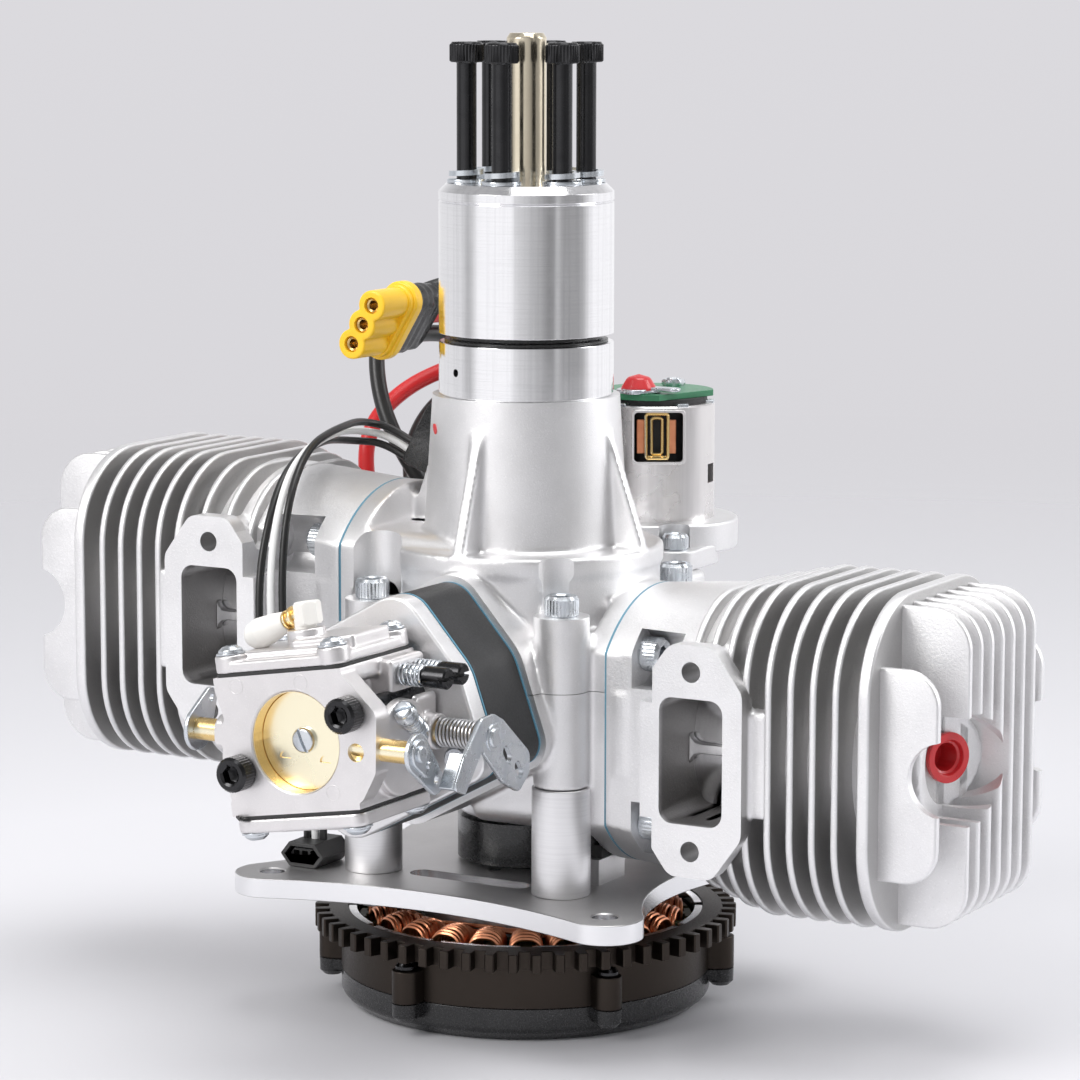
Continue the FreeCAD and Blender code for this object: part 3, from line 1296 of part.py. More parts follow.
def prop_hub():
    hub = cyl_z(HUB_R, HUB_Z0, HUB_Z1)
    top = [e for e in hub.Edges if e.BoundBox.ZMin > HUB_Z1 - 0.1]
    hub = hub.makeChamfer(HUB_CHAMFER, top)
    groove = ring_z(HUB_R + 1, HUB_R - GROOVE_D, GROOVE_Z - 0.3, GROOVE_Z + 0.3)
    cuts = [groove, cyl_z(SHAFT_R + SEAT_GAP, HUB_Z0 - 1, HUB_Z0 + HUB_SOCKET + 0.5)]
    cuts.append(cyl_z(PIN_STEM_R + SEAT_GAP, HUB_Z1 - PIN_DEPTH, HUB_Z1 + 1))
    for x, y in bolt_points():
        cuts.append(cyl_z(M5_SHANK + SEAT_GAP, HUB_Z1 - BOLT_DEPTH, HUB_Z1 + 1, x, y))
    return hub.cut(cuts)


def centre_pin():
    shoulder = HUB_Z1 + PIN_STEP
    pin = cyl_z(PIN_R, shoulder, PIN_TOP)
    pin = pin.makeChamfer(PIN_CHAMFER, [e for e in pin.Edges if e.BoundBox.ZMin > PIN_TOP - 0.1])
    return fuse([pin, cyl_z(PIN_STEM_R, HUB_Z1 - PIN_DEPTH, shoulder + 1)])


def prop_bolts():
    length = BOLT_HEAD_Z - HUB_Z1 + BOLT_DEPTH - BOLT_END_GAP
    bolt = socket_screw(M5_SHANK, M5_HEAD, M5_HEAD_H, M5_KEY, length)
    return group(moved(bolt, x, y, BOLT_HEAD_Z) for x, y in bolt_points())


def flat_washers():
    return group(ring_z(WASHER_R, M5_SHANK + HOLE_GAP, HUB_Z1, HUB_Z1 + WASHER_T, x, y)
                 for x, y in bolt_points())


def spring_washers():
    z0 = HUB_Z1 + WASHER_T
    gap = box(0, SPRING_R + 1, -0.5, 0.5, -1, SPRING_T + 1)
    washer = ring_z(SPRING_R, M5_SHANK + HOLE_GAP, 0, SPRING_T).cut(gap)
    return group(moved(turned(washer, 70 * k), x, y, z0) for k, (x, y) in enumerate(bolt_points()))


def trigger_ring():
    top = SUMP_BASE_Z - 0.6
    magnet = cyl_x(MAGNET_PIN_R, TRIGGER_R - 3, TRIGGER_R + 1, 0, TRIGGER_Z0 + 4)
    return ring_z(TRIGGER_R, SHAFT_R + SEAT_GAP, TRIGGER_Z0, top).cut(magnet)


# Generator

def gear_face(teeth, module, depth_in, depth_out, share, flanks):
    """One closed outline of straight sided teeth round the origin, in the plane z = 0."""
    pitch_r = teeth * module / 2
    step = 2 * math.pi / teeth
    root, tip = pitch_r - depth_in, pitch_r + depth_out
    half = step * share / 2
    points = []
    for i in range(teeth):
        mid = i * step
        root_half = half + flanks[0] * depth_in / pitch_r
        tip_half = half - flanks[1] * depth_out / pitch_r
        for r, a in ((root, -root_half), (tip, -tip_half), (tip, tip_half), (root, root_half)):
            points.append(V(r * math.cos(mid + a), r * math.sin(mid + a), 0))
    return Part.Face(Part.makePolygon(points + [points[0]]))


GEAR_R = GEAR_TEETH * GEAR_MODULE / 2
PINION_R = PINION_TEETH * GEAR_MODULE / 2
STARTER_DIST = GEAR_R + PINION_R


def ring_gear():
    face = gear_face(GEAR_TEETH, GEAR_MODULE, GEAR_ROOT, GEAR_TIP, GEAR_SHARE, GEAR_FLANK)
    gear = face.extrude(V(0, 0, GEAR_T))
    return moved(turned(gear, 90 - STARTER_TURN), 0, 0, RING_TOP_Z - GEAR_T)


def boss_points():
    return [polar(ROTOR_R + BOSS_OUT, BOSS_TURN + 360 / BOSS_COUNT * k) for k in range(BOSS_COUNT)]


def rotor_ring():
    pieces = [cyl_z(ROTOR_R, SEAM_Z, RING_TOP_Z), ring_gear()]
    for x, y in boss_points():
        pieces.append(cyl_z(BOSS_R, SEAM_Z, BOSS_TOP_Z, x, y))
    cuts = [cyl_z(RING_BORE, SEAM_Z - 1, RING_TOP_Z + 1)]
    for x, y in boss_points():
        cuts.append(cyl_z(ROTOR_SCREW_R + HOLE_GAP, SEAM_Z - 1, BOSS_TOP_Z + 1, x, y))
    return fuse(pieces).cut(cuts)


def rotor_cap():
    cup = cyl_z(ROTOR_R, FLOOR_Z, SEAM_Z)
    cup = cup.makeFillet(CAP_EDGE_R, [e for e in cup.Edges if e.BoundBox.ZMax < FLOOR_Z + 0.1])
    bosses = []
    for x, y in boss_points():
        boss = cyl_z(BOSS_R, BOSS_BASE_Z, SEAM_Z, x, y)
        bosses.append(boss.makeFillet(1.2, [e for e in boss.Edges if e.BoundBox.ZMax < BOSS_BASE_Z + 0.1]))
    hollow = cyl_z(RING_BORE - 1.2, FLOOR_Z + CAP_FLOOR_T, SEAM_Z + 1)
    cup = fuse([cup] + bosses).cut(hollow)
    hub = cyl_z(ROTOR_HUB_R, FLOOR_Z + 1, ROTOR_HUB_TOP)
    cuts = [cyl_z(SHAFT_R + SEAT_GAP, FLOOR_Z - 1, ROTOR_HUB_TOP + 1)]
    for k in range(BOSS_COUNT):
        x, y = polar((RING_BORE + ROTOR_HUB_R) / 2, BOSS_TURN + 60 * k)
        cuts.append(cyl_z(VENT_R, FLOOR_Z - 1, FLOOR_Z + CAP_FLOOR_T + 1, x, y))
    for x, y in boss_points():
        cuts.append(cyl_z(ROTOR_SCREW_R + SEAT_GAP, SEAM_Z - 3, SEAM_Z + 1, x, y))
    return fuse([cup, hub]).cut(cuts)


def rotor_screws():
    out = []
    for x, y in boss_points():
        head = cyl_z(BOSS_R - 0.9, BOSS_TOP_Z, BOSS_TOP_Z + 1.8, x, y)
        out.append(fuse([head, cyl_z(ROTOR_SCREW_R, SEAM_Z - 2.5, BOSS_TOP_Z + 0.5, x, y)]))
    return group(out)


def rotor_magnets():
    step = 360 / MAGNET_COUNT
    face_r = RING_BORE - SEAT_GAP
    z0, z1 = SEAM_Z + 1.5, RING_TOP_Z - 0.3
    tube = ring_z(face_r, face_r - MAGNET_T, z0, z1)
    reach = face_r + 5
    out = []
    for k in range(MAGNET_COUNT):
        a0, a1 = k * step + MAGNET_GAP / 2, (k + 1) * step - MAGNET_GAP / 2
        tip = [polar(reach / math.cos(math.radians(step / 2)), a) for a in (a0, a1)]
        points = [V(0, 0, z0 - 1)] + [V(x, y, z0 - 1) for x, y in tip]
        wedge = Part.Face(Part.makePolygon(points + [points[0]])).extrude(V(0, 0, z1 - z0 + 2))
        out.append(tube.common(wedge))
    return group(out)


def stator_core():
    rim = ring_z(STATOR_R, STATOR_R - STATOR_RIM_T, STATOR_Z0, STATOR_Z1)
    step = 360 / SLOT_COUNT
    gap = box(STATOR_R - 4, STATOR_R + 1, -SLOT_MOUTH / 2, SLOT_MOUTH / 2, STATOR_Z0 - 1, STATOR_Z1 + 1)
    rim = rim.cut([turned(gap, step * (k + 0.5)) for k in range(SLOT_COUNT)])
    tooth = box(STATOR_YOKE_R - 1, STATOR_R - 1, -TOOTH_W / 2, TOOTH_W / 2, STATOR_Z0, STATOR_Z1)
    teeth = [turned(tooth, step * k) for k in range(SLOT_COUNT)]
    yoke = cyl_z(STATOR_YOKE_R, STATOR_Z0, STATOR_Z1)
    body = yoke.multiFuse([rim] + teeth).removeSplitter()
    return body.cut(cyl_z(STATOR_BORE + SEAT_GAP, STATOR_Z0 - 1, STATOR_Z1 + 1))


def coil():
    """One copper coil round a stator tooth, wider towards the rim."""
    z0, z1 = STATOR_Z0 - COIL_LIFT, STATOR_Z1 + COIL_LIFT
    r0, r1 = STATOR_YOKE_R + 0.8, STATOR_R - 2.2
    w0, w1 = COIL_W0 / 2, COIL_W1 / 2
    corners = ((r0, -w0), (r1, -w1), (r1, w1), (r0, w0))
    points = [V(x, y, z0) for x, y in corners]
    body = Part.Face(Part.makePolygon(points + [points[0]])).extrude(V(0, 0, z1 - z0))
    edges = [e for e in body.Edges if e.BoundBox.ZLength < 0.01 and e.BoundBox.XLength > 1]
    body = body.makeChamfer(COIL_LIFT * 0.5, edges)
    inner = box(r0 - 1, r1 + 1, -TOOTH_W / 2 - 0.1, TOOTH_W / 2 + 0.1, STATOR_Z0 - 0.1, STATOR_Z1 + 0.1)
    return body.cut(inner)


def stator_coils():
    one = coil()
    return group(turned(one, 360 / SLOT_COUNT * k) for k in range(SLOT_COUNT))


def stator_carrier():
    flange = cyl_z(CARRIER_FLANGE_R, -CARRIER_FLANGE_T, 0)
    tube = cyl_z(STATOR_BORE, STATOR_Z0, -CARRIER_FLANGE_T + 0.5)
    shoulder = cyl_z(STATOR_BORE + 3, STATOR_Z1, -CARRIER_FLANGE_T + 0.5)
    return fuse([flange, tube, shoulder]).cut(cyl_z(CARRIER_BORE, STATOR_Z0 - 1, 1))


# Starter motor and its drive

STARTER_X, STARTER_Y = polar(STARTER_DIST, 180 - STARTER_TURN)
STARTER_EAR_Y = STARTER_Y - STARTER_EAR_IN
SHELF_Y = STARTER_EAR_Y + SHELF_MARGIN
PLATE_WAIST_Y = STARTER_Y - DRIVE_TUBE_R - PLATE_DRIVE_GAP
STARTER_SCREWS_X = (STARTER_X - STARTER_EAR_HALF, STARTER_X + STARTER_EAR_HALF)


def starter_can():
    x, y = STARTER_X, STARTER_Y
    can = ring_z(CAN_R, CAN_R - CAN_WALL, CAN_Z0, CAN_Z1, x, y)
    inside = CAN_R - CAN_WALL
    window = box(CAN_R - 8, CAN_R + 3, -WINDOW_HALF, WINDOW_HALF, CAN_Z1 - WINDOW_H, CAN_Z1 + 1)
    window = moved(turned(window, WINDOW_TURN), x, y)
    floor = cyl_z(inside, CAN_Z0, CAN_Z0 + CAN_WALL, x, y)
    return fuse([can.cut(window), floor])


def starter_armature():
    """The wound core in the motor can, seen through its window."""
    x, y = STARTER_X, STARTER_Y
    return cyl_z(CAN_R - CAN_WALL - 2.0, CAN_Z0 + CAN_WALL, CAN_Z1, x, y)


def starter_bracket():
    x, y = STARTER_X, STARTER_Y
    flange = cyl_z(STARTER_FLANGE_R, STARTER_FLANGE_Z0, CAN_Z0, x, y)
    ear_z0 = STARTER_EAR_TOP - STARTER_EAR_T
    half = STARTER_EAR_HALF + STARTER_EAR_R
    corners = ((x - half, STARTER_EAR_Y - STARTER_EAR_R), (x + half, STARTER_EAR_Y - STARTER_EAR_R),
               (x + half, y), (x - half, y))
    ears = prism(corners, STARTER_EAR_R - 0.2, on_z(ear_z0), V(0, 0, STARTER_EAR_T))
    tube = cyl_z(DRIVE_TUBE_R, DRIVE_TUBE_Z0, STARTER_FLANGE_Z0 + 1, x, y)
    body = fuse([flange, ears, tube])
    bush_top = DRIVE_TUBE_Z0 + DRIVE_BUSH_H
    cuts = [cyl_z(DRIVE_SHAFT_R + RUN_FIT, DRIVE_TUBE_Z0 - 1, bush_top + 1, x, y)]
    cuts.append(cyl_z(DRIVE_BORE_R, bush_top, STARTER_FLANGE_Z0, x, y))
    for sx in STARTER_SCREWS_X:
        cuts.append(cyl_z(M4_SHANK + HOLE_GAP, ear_z0 - 1, STARTER_EAR_TOP + 1, sx, STARTER_EAR_Y))
        cuts.append(cyl_z(M4_HEAD + 0.8, STARTER_EAR_TOP, CAN_Z0 + 1, sx, STARTER_EAR_Y))
    return body.cut(cuts)


def starter_screws():
    screw = socket_screw(M4_SHANK, M4_HEAD, M4_HEAD_H, M4_KEY, STARTER_EAR_T + SCREW_DEPTH - 1)
    return group(moved(screw, x, STARTER_EAR_Y, STARTER_EAR_TOP) for x in STARTER_SCREWS_X)


def starter_board():
    return cyl_z(CAN_R - 0.5, CAN_Z1, CAN_Z1 + BOARD_T, STARTER_X, STARTER_Y)


def terminal_points():
    x, y = STARTER_X, STARTER_Y
    return [(x - TERMINAL_OUT * 0.1, y - TERMINAL_OUT), (x, y + TERMINAL_OUT)]


def starter_terminals():
    top = CAN_Z1 + BOARD_T
    x, y = terminal_points()[1]
    post = cyl_z(TERMINAL_R * 0.6, top, top + TERMINAL_H, x, y)
    nut = moved(hexagon(TERMINAL_R * 2, 2.4), x, y, top + 1.0)
    tag = ring_z(TERMINAL_R + 0.8, TERMINAL_R * 0.6, top, top + 1.0, x, y)
    return fuse([post, nut, tag])


def terminal_cap():
    x, y = terminal_points()[0]
    top = CAN_Z1 + BOARD_T
    cap = cyl_z(TERMINAL_R, top, top + TERMINAL_H, x, y)
    return cap.makeFillet(2.0, [e for e in cap.Edges if e.BoundBox.ZMin > top + TERMINAL_H - 0.1])


def brush_holder():
    """A brass channel on the motor's end, in its window."""
    z1 = CAN_Z1
    outer = box(CAN_R - 1.2, CAN_R + 0.8, -BRUSH_HALF, BRUSH_HALF, z1 - BRUSH_H, z1)
    middle = box(CAN_R - 2, CAN_R + 2, -BRUSH_HALF + 1.4, BRUSH_HALF + 1, z1 - BRUSH_H + 1.6, z1 - 1.6)
    foot = box(CAN_R - CAN_WALL - 1.6, CAN_R - 0.6, -BRUSH_HALF, BRUSH_HALF, z1 - 1.6, z1)
    return moved(turned(fuse([outer.cut(middle), foot]), WINDOW_TURN), STARTER_X, STARTER_Y)


def starter_shaft():
    x, y = STARTER_X, STARTER_Y
    top = STARTER_FLANGE_Z0 - 0.3
    return cyl_z(DRIVE_SHAFT_R, PINION_Z0 - 1.5, top, x, y)


def starter_pinion():
    face = gear_face(PINION_TEETH, GEAR_MODULE, PINION_ROOT, PINION_TIP, PINION_SHARE, PINION_FLANK)
    gear = turned(face.extrude(V(0, 0, PINION_T)), 270 - STARTER_TURN - 180 / PINION_TEETH)
    gear = moved(gear, STARTER_X, STARTER_Y, PINION_Z0)
    top = PINION_Z0 + PINION_T + 1
    return gear.cut(cyl_z(DRIVE_SHAFT_R + SEAT_GAP, PINION_Z0 - 1, top, STARTER_X, STARTER_Y))


# Timing sensor and its plug

def sensor_mount():
    x0, x1 = MOUNT_X0, MOUNT_X1
    base = box(x0, x1, -MOUNT_Y1, -MOUNT_Y0, PLATE_T, MOUNT_TOP)
    tongue = box(SENSOR_X0 + 3, x0 + 1, -SENSOR_Y1, -SENSOR_Y0, MOUNT_TOP - 3, MOUNT_TOP)
    holes = [cyl_z(SENSOR_SCREW_R + SEAT_GAP, MOUNT_TOP - 3, MOUNT_TOP + 1, x, y)
             for x, y in sensor_screw_points()]
    return fuse([base, tongue]).cut(holes)


def sensor_screw_points():
    x = (MOUNT_X0 + SENSOR_X1) / 2
    return [(x, -SENSOR_Y1 + 2.2), (x, -SENSOR_Y0 - 2.2)]


def hall_sensor():
    body = box(SENSOR_X0, SENSOR_X1, -SENSOR_Y1, -SENSOR_Y0, MOUNT_TOP, MOUNT_TOP + SENSOR_T)
    holes = [cyl_z(SENSOR_SCREW_R + HOLE_GAP, MOUNT_TOP - 1, MOUNT_TOP + SENSOR_T + 1, x, y)
             for x, y in sensor_screw_points()]
    return body.cut(holes)


def sensor_screws():
    top = MOUNT_TOP + SENSOR_T
    return group(fuse([cyl_z(SENSOR_SCREW_R, MOUNT_TOP - 2.5, top + 0.5, x, y),
                       cyl_z(SENSOR_SCREW_R + 0.9, top, top + 1.2, x, y)]) for x, y in sensor_screw_points())


def sensor_plug():
    x, z = SENSOR_PLUG_X, PLATE_T
    w, h = SENSOR_PLUG_W / 2, SENSOR_PLUG_H
    corners = ((x - w, z + h / 2), (x - w + 2.6, z), (x + w - 2.6, z), (x + w, z + h / 2),
               (x + w - 2.6, z + h), (x - w + 2.6, z + h))
    points = [V(a, -SENSOR_PLUG_Y1, b) for a, b in corners]
    body = Part.Face(Part.makePolygon(points + [points[0]])).extrude(V(0, SENSOR_PLUG_Y1 - SENSOR_PLUG_Y0, 0))
    mouth = box(x - w + 3, x + w - 3, -SENSOR_PLUG_Y1 - 1, -SENSOR_PLUG_Y1 + 5, z + 1.2, z + h - 1.2)
    return body.cut(mouth)


# Lead guard, connector and leads

def lead_guard():
    """An upright plate that stands on the case's disc, screwed to the rear of the left mouth."""
    points = [V(x, CASE_HALF_Y, z) for x, z in GUARD_OUTLINE]
    plate = Part.Face(Part.makePolygon(points + [points[0]])).extrude(V(0, GUARD_T, 0))
    return plate.cut(guard_hole(GUARD_SCREW_R + HOLE_GAP, -1, GUARD_T + 1))


def guard_hole(radius, y0, y1):
    return cyl_y(radius, CASE_HALF_Y + y0, CASE_HALF_Y + y1, GUARD_SCREW_X, GUARD_SCREW_Z)


def guard_screw():
    head = guard_hole(GUARD_SCREW_R + 1.2, GUARD_T, GUARD_T + 1.6)
    return fuse([head, guard_hole(GUARD_SCREW_R, 1 - GUARD_SCREW_DEPTH, GUARD_T + 0.5)])


def pole(k):
    """The centre of one connector pole, k = -1, 0 or 1."""
    lean = math.radians(POLE_LEAN)
    return PLUG_X + k * POLE_PITCH * math.sin(lean), PLUG_Z + k * POLE_PITCH * math.cos(lean)


def pole_block(radius, y0, y1):
    (xa, za), (xb, zb) = pole(-1), pole(1)
    lean = math.radians(POLE_LEAN)
    side = V(radius * math.cos(lean), 0, -radius * math.sin(lean))
    ends = [V(xa, y0, za) + side, V(xb, y0, zb) + side, V(xb, y0, zb) - side, V(xa, y0, za) - side]
    slab = Part.Face(Part.makePolygon(ends + [ends[0]])).extrude(V(0, y1 - y0, 0))
    return fuse([slab, cyl_y(radius, y0, y1, xa, za), cyl_y(radius, y0, y1, xb, zb)])


def connector_housing():
    y0 = PLUG_Y
    poles = [cyl_y(POLE_R, y0, y0 + HOUSING_L, *pole(k)) for k in (-1, 0, 1)]
    body = fuse(poles + [pole_block(POLE_R - 1.2, y0, y0 + HOUSING_L)])
    collar = pole_block(POLE_R + 1.4, y0 + HOUSING_L - COLLAR_T, y0 + HOUSING_L)
    holes = [cyl_y(POLE_HOLE_R, y0 - 1, y0 + HOUSING_L + 1, *pole(k)) for k in (-1, 0, 1)]
    return fuse([body, collar]).cut(holes)


def connector_sockets():
    y0 = PLUG_Y + 1.0
    y1 = PLUG_Y + HOUSING_L
    outer = POLE_HOLE_R - SEAT_GAP
    return group(cyl_y(outer, y0, y1, *pole(k)).cut(cyl_y(outer - 0.6, y0 - 1, y1 - 1.5, *pole(k)))
                 for k in (-1, 0, 1))


def connector_boot():
    y0 = PLUG_Y + HOUSING_L
    return pole_block(POLE_R + 0.4, y0, y0 + BOOT_L)


def lead_tube(route, radius):
    """Straight runs joined by tangent arcs that take up 0.45 of the shorter run."""
    points = [V(*p) for p in route]
    edges = []
    start = points[0]
    tightest = None
    for a, b, c in zip(points, points[1:], points[2:]):
        into, away = a - b, c - b
        reach = 0.45 * min(into.Length, away.Length)
        into.normalize()
        away.normalize()
        half = into.getAngle(away) / 2
        bend = reach * math.tan(half)
        end = b + into * reach
        after = b + away * reach
        centre = b + (into + away).normalize() * (bend / math.sin(half))
        middle = centre + (b - centre).normalize() * bend
        edges.append(Part.LineSegment(start, end).toShape())
        edges.append(Part.Arc(end, middle, after).toShape())
        start = after
        tightest = bend if tightest is None else min(tightest, bend)
    edges.append(Part.LineSegment(start, points[-1]).toShape())
    path = Part.Wire(edges)
    along = points[1] - points[0]
    ring = Part.Wire(Part.makeCircle(radius, points[0], along))
    tube = path.makePipeShell([ring], True, False)
    print("lead of", round(path.Length, 1), "mm, tightest bend", round(tightest, 1), "mm")
    return tube


def pole_exit(k):
    x, z = pole(k)
    return x, PLUG_Y + HOUSING_L + BOOT_L, z


def after_exit(k):
    """The end of the straight start of a lead, a short way behind the sleeve."""
    x, y, z = pole_exit(k)
    return x, y + EXIT_RUN, z


LEAD_END_Z = STATOR_Z1 + COIL_LIFT
FIRST_LEAD = [pole_exit(1), after_exit(1), (-30.3, 49.3, 146), (-27.6, 64.5, 147), (-36.5, 77.2, 147),
              (-51.8, 79.9, 147), (-64.5, 71, 145), (-69.8, 56.4, 141.5), (-72.5, 44.5, 132),
              (-68.5, 39, 117), (-60.5, 36.5, 103), (-50, 38.5, 88.5), (-41.5, 42.5, 71.5),
              (-36, 45, 53.5), (-30, 44, 36), (-21.5, 39.5, 20), (-12.5, 30.5, 8),
              (-11.5, LEAD_WINDOW_Y, LEAD_END_Z)]
SECOND_LEAD = [pole_exit(0), after_exit(0), (-31, 48.8, 137), (-28.1, 64.1, 133), (-37, 76.8, 129.5),
               (-52.3, 79.5, 126), (-65, 70.6, 121.5), (-72.5, 58, 116), (-76, 45.5, 106.5),
               (-75.5, 43.5, 91), (-67, 44, 78), (-57, 47, 64), (-46, 50, 50.5), (-34, 50.5, 37),
               (-23.5, 47, 28.5), (-13.5, 41, 21.5), (-4.5, 30.5, 9), (-3.5, LEAD_WINDOW_Y, LEAD_END_Z)]
THIRD_LEAD = [pole_exit(-1), after_exit(-1), (-34.5, 47.5, 129.5), (-31.5, 62, 126.5), (-38, 75.5, 123.5),
              (-53, 79, 119.5), (-66, 68.5, 114.0), (-66.5, 53.5, 104), (-63, 46, 91), (-56.5, 47, 77),
              (-48.5, 50, 64.5), (-39.5, 53, 52.5), (-27, 53, 42), (-14.5, 48.5, 32.5), (-4.5, 40.5, 22),
              (3.5, 30.5, 9), (4.5, LEAD_WINDOW_Y, LEAD_END_Z)]

WIRE_Y = CASE_HALF_Y + GUARD_T / 2
WIRE_END_Y = -(SENSOR_PLUG_Y0 + SENSOR_PLUG_Y1) / 2
WIRE_END_Z = PLATE_T + SENSOR_PLUG_H


def guard_edge(k):
    """Start of wire k on the guard's slanted left edge, and the end of its straight start."""
    (xa, za), (xb, zb) = GUARD_OUTLINE[3], GUARD_OUTLINE[2]
    up = V(xb - xa, 0, zb - za).normalize()
    foot = V(xa, WIRE_Y, za) + up * (WIRE_STEP * (k + 0.6))
    ahead = foot + V(-up.z, 0, up.x) * WIRE_RUN
    return [tuple(foot), tuple(ahead)]


def plug_top(k):
    x = SENSOR_PLUG_X + WIRE_STEP * (k - 1)
    return [(x, WIRE_END_Y, WIRE_END_Z + WIRE_RUN * 1.3), (x, WIRE_END_Y, WIRE_END_Z)]


FIRST_WIRE = guard_edge(2) + [(-62.0, 24, 111), (-61, 16.2, 112), (-57, 5, 112.5), (-54, -8, 112),
                              (-51, -20.5, 110.5), (-48.5, -31, 105.5), (-46.5, -39, 96.5),
                              (-45.5, -43, 84), (-44, -45.5, 70), (-42, -46.5, 56), (-41, -46, 43),
                              (-40.7, -40, 30)] + plug_top(2)
SECOND_WIRE = guard_edge(1) + [(-64, 24, 108.6), (-63.6, 15.5, 109.6), (-60, 4.5, 110.3), (-56.8, -8, 109.9),
                               (-53.5, -20.5, 108.4), (-51, -31.5, 103.8), (-49, -40, 94.5),
                               (-48, -44.5, 83), (-46.5, -47, 70), (-44.6, -48.5, 56), (-43.6, -48, 43),
                               (-43.2, -40.5, 30)] + plug_top(1)
THIRD_WIRE = guard_edge(0) + [(-66, 24, 105.8), (-66.3, 15, 107), (-63, 4, 108.2), (-59.6, -8, 107.9),
                              (-56, -20.5, 106.5), (-53.5, -31.5, 102), (-51.6, -40, 93),
                              (-50.6, -45.5, 81.5), (-49, -48.5, 69), (-47.2, -50, 56), (-46.3, -49.5, 43),
                              (-45.8, -41, 30)] + plug_top(0)


def save_all():
    front, rear = halves()
    casting = cylinder_casting()
    save("mounting_plate", mounting_plate())
    save("pillar_tubes", pillar_tubes())
    save("pillar_bolts", group([pillar_screws(), pillar_nuts()]))
    save("crankcase_front", front)
    save("crankcase_rear", rear)
    save("front_sleeve", front_sleeve())
    save("main_bearings", main_bearings())
    save("shaft_seals", shaft_seals())
    for name, side in (("right", 1), ("left", -1)):
        save(name + "_cylinder", cylinder(side, casting))
        kit = [piston(), piston_rings(), wrist_pin()]
        save(name + "_piston", group(cylinder(side, piece) for piece in kit))
    save("gaskets", group([cylinder_gasket(1), cylinder_gasket(-1), intake_gaskets()]))
    save("cylinder_screws", cylinder_screws())
    save("plug_caps", group([plug_cap(1), plug_cap(-1)]))
    save("insulator_block", insulator_block())
    save("intake_adaptor", intake_adaptor())
    save("small_screws", group([intake_screws(), starter_screws()]))
    save("carburettor_body", carburettor_body())
    save("carburettor_gaskets", carb_gaskets())
    save("carburettor_covers", group([pump_cover(), metering_cover()]))
    save("cover_screws", cover_screws())
    save("carburettor_screws", carburettor_screws())
    save("fuel_inlet", group([fuel_elbow(), fuel_cap()]))
    save("adjusting_screws", group([mixture_screws(), mixture_springs(), idle_screw(), idle_spring()]))
    save("choke_valve", group([choke_shaft(), shaft_disc(CHOKE_Y, THROAT_R - 0.25), disc_screw(CHOKE_Y)]))
    save("choke_levers", group([choke_lever(), choke_cam()]))
    disc = shaft_disc(THROTTLE_Y, THROTTLE_BORE_R - 0.25)
    save("throttle_valve", group([throttle_shaft(), disc, disc_screw(THROTTLE_Y)]))
    save("throttle_lever", throttle_lever())
    save("throttle_spring", throttle_spring())
    save("crankshaft", crankshaft())
    save("prop_hub", prop_hub())
    save("centre_pin", centre_pin())
    save("prop_bolts", prop_bolts())
    save("bolt_washers", group([flat_washers(), spring_washers()]))
    save("trigger_ring", trigger_ring())
    save("rotor_ring", rotor_ring())
    save("rotor_cap", rotor_cap())
    save("rotor_magnets", rotor_magnets())
    save("rotor_screws", rotor_screws())
    save("stator_core", stator_core())
    save("stator_coils", stator_coils())
    save("stator_carrier", stator_carrier())
    save("starter_can", group([starter_can(), starter_armature()]))
    save("starter_bracket", starter_bracket())
    save("starter_end", group([starter_board(), terminal_cap(), starter_terminals(), brush_holder()]))
    save("starter_drive", group([starter_shaft(), starter_pinion()]))
    save("sensor_mount", sensor_mount())
    save("hall_sensor", group([hall_sensor(), sensor_screws()]))
    save("sensor_plug", sensor_plug())
    save("lead_guard", group([lead_guard(), guard_screw()]))
    save("connector_housing", connector_housing())
    save("connector_sockets", connector_sockets())
    save("connector_boot", connector_boot())
    save("first_lead", lead_tube(FIRST_LEAD, LEAD_R))
    save("second_lead", lead_tube(SECOND_LEAD, LEAD_R))
    save("third_lead", lead_tube(THIRD_LEAD, LEAD_R))
    save("first_wire", lead_tube(FIRST_WIRE, WIRE_R))
    save("second_wire", lead_tube(SECOND_WIRE, WIRE_R))
    save("third_wire", lead_tube(THIRD_WIRE, WIRE_R))


save_all()
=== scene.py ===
import bpy
import bmesh
import math
from mathutils import Matrix, Vector


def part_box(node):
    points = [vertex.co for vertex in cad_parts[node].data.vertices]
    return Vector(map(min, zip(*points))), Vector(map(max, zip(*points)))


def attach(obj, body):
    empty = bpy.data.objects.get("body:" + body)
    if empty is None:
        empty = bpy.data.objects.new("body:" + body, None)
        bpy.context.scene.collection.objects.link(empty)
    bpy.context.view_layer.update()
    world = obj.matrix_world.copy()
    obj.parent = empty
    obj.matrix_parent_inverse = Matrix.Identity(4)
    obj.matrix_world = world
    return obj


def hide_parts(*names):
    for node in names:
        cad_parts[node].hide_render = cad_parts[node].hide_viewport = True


# A flat twin aircraft engine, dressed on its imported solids. Helpers take
# millimetres and write metres, in the frame of the solids.

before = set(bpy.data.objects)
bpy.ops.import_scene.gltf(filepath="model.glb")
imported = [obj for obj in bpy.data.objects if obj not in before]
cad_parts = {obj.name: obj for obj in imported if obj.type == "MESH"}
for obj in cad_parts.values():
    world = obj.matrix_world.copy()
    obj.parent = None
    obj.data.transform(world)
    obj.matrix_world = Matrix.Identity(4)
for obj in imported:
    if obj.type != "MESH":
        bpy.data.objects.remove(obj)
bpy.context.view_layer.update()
MM = 0.001
SCENE = bpy.context.scene
IDENTITY = Matrix.Identity(4)
TAU = 2 * math.pi


# Meshes

def move(x=0.0, y=0.0, z=0.0):
    return Matrix.Translation((x, y, z))


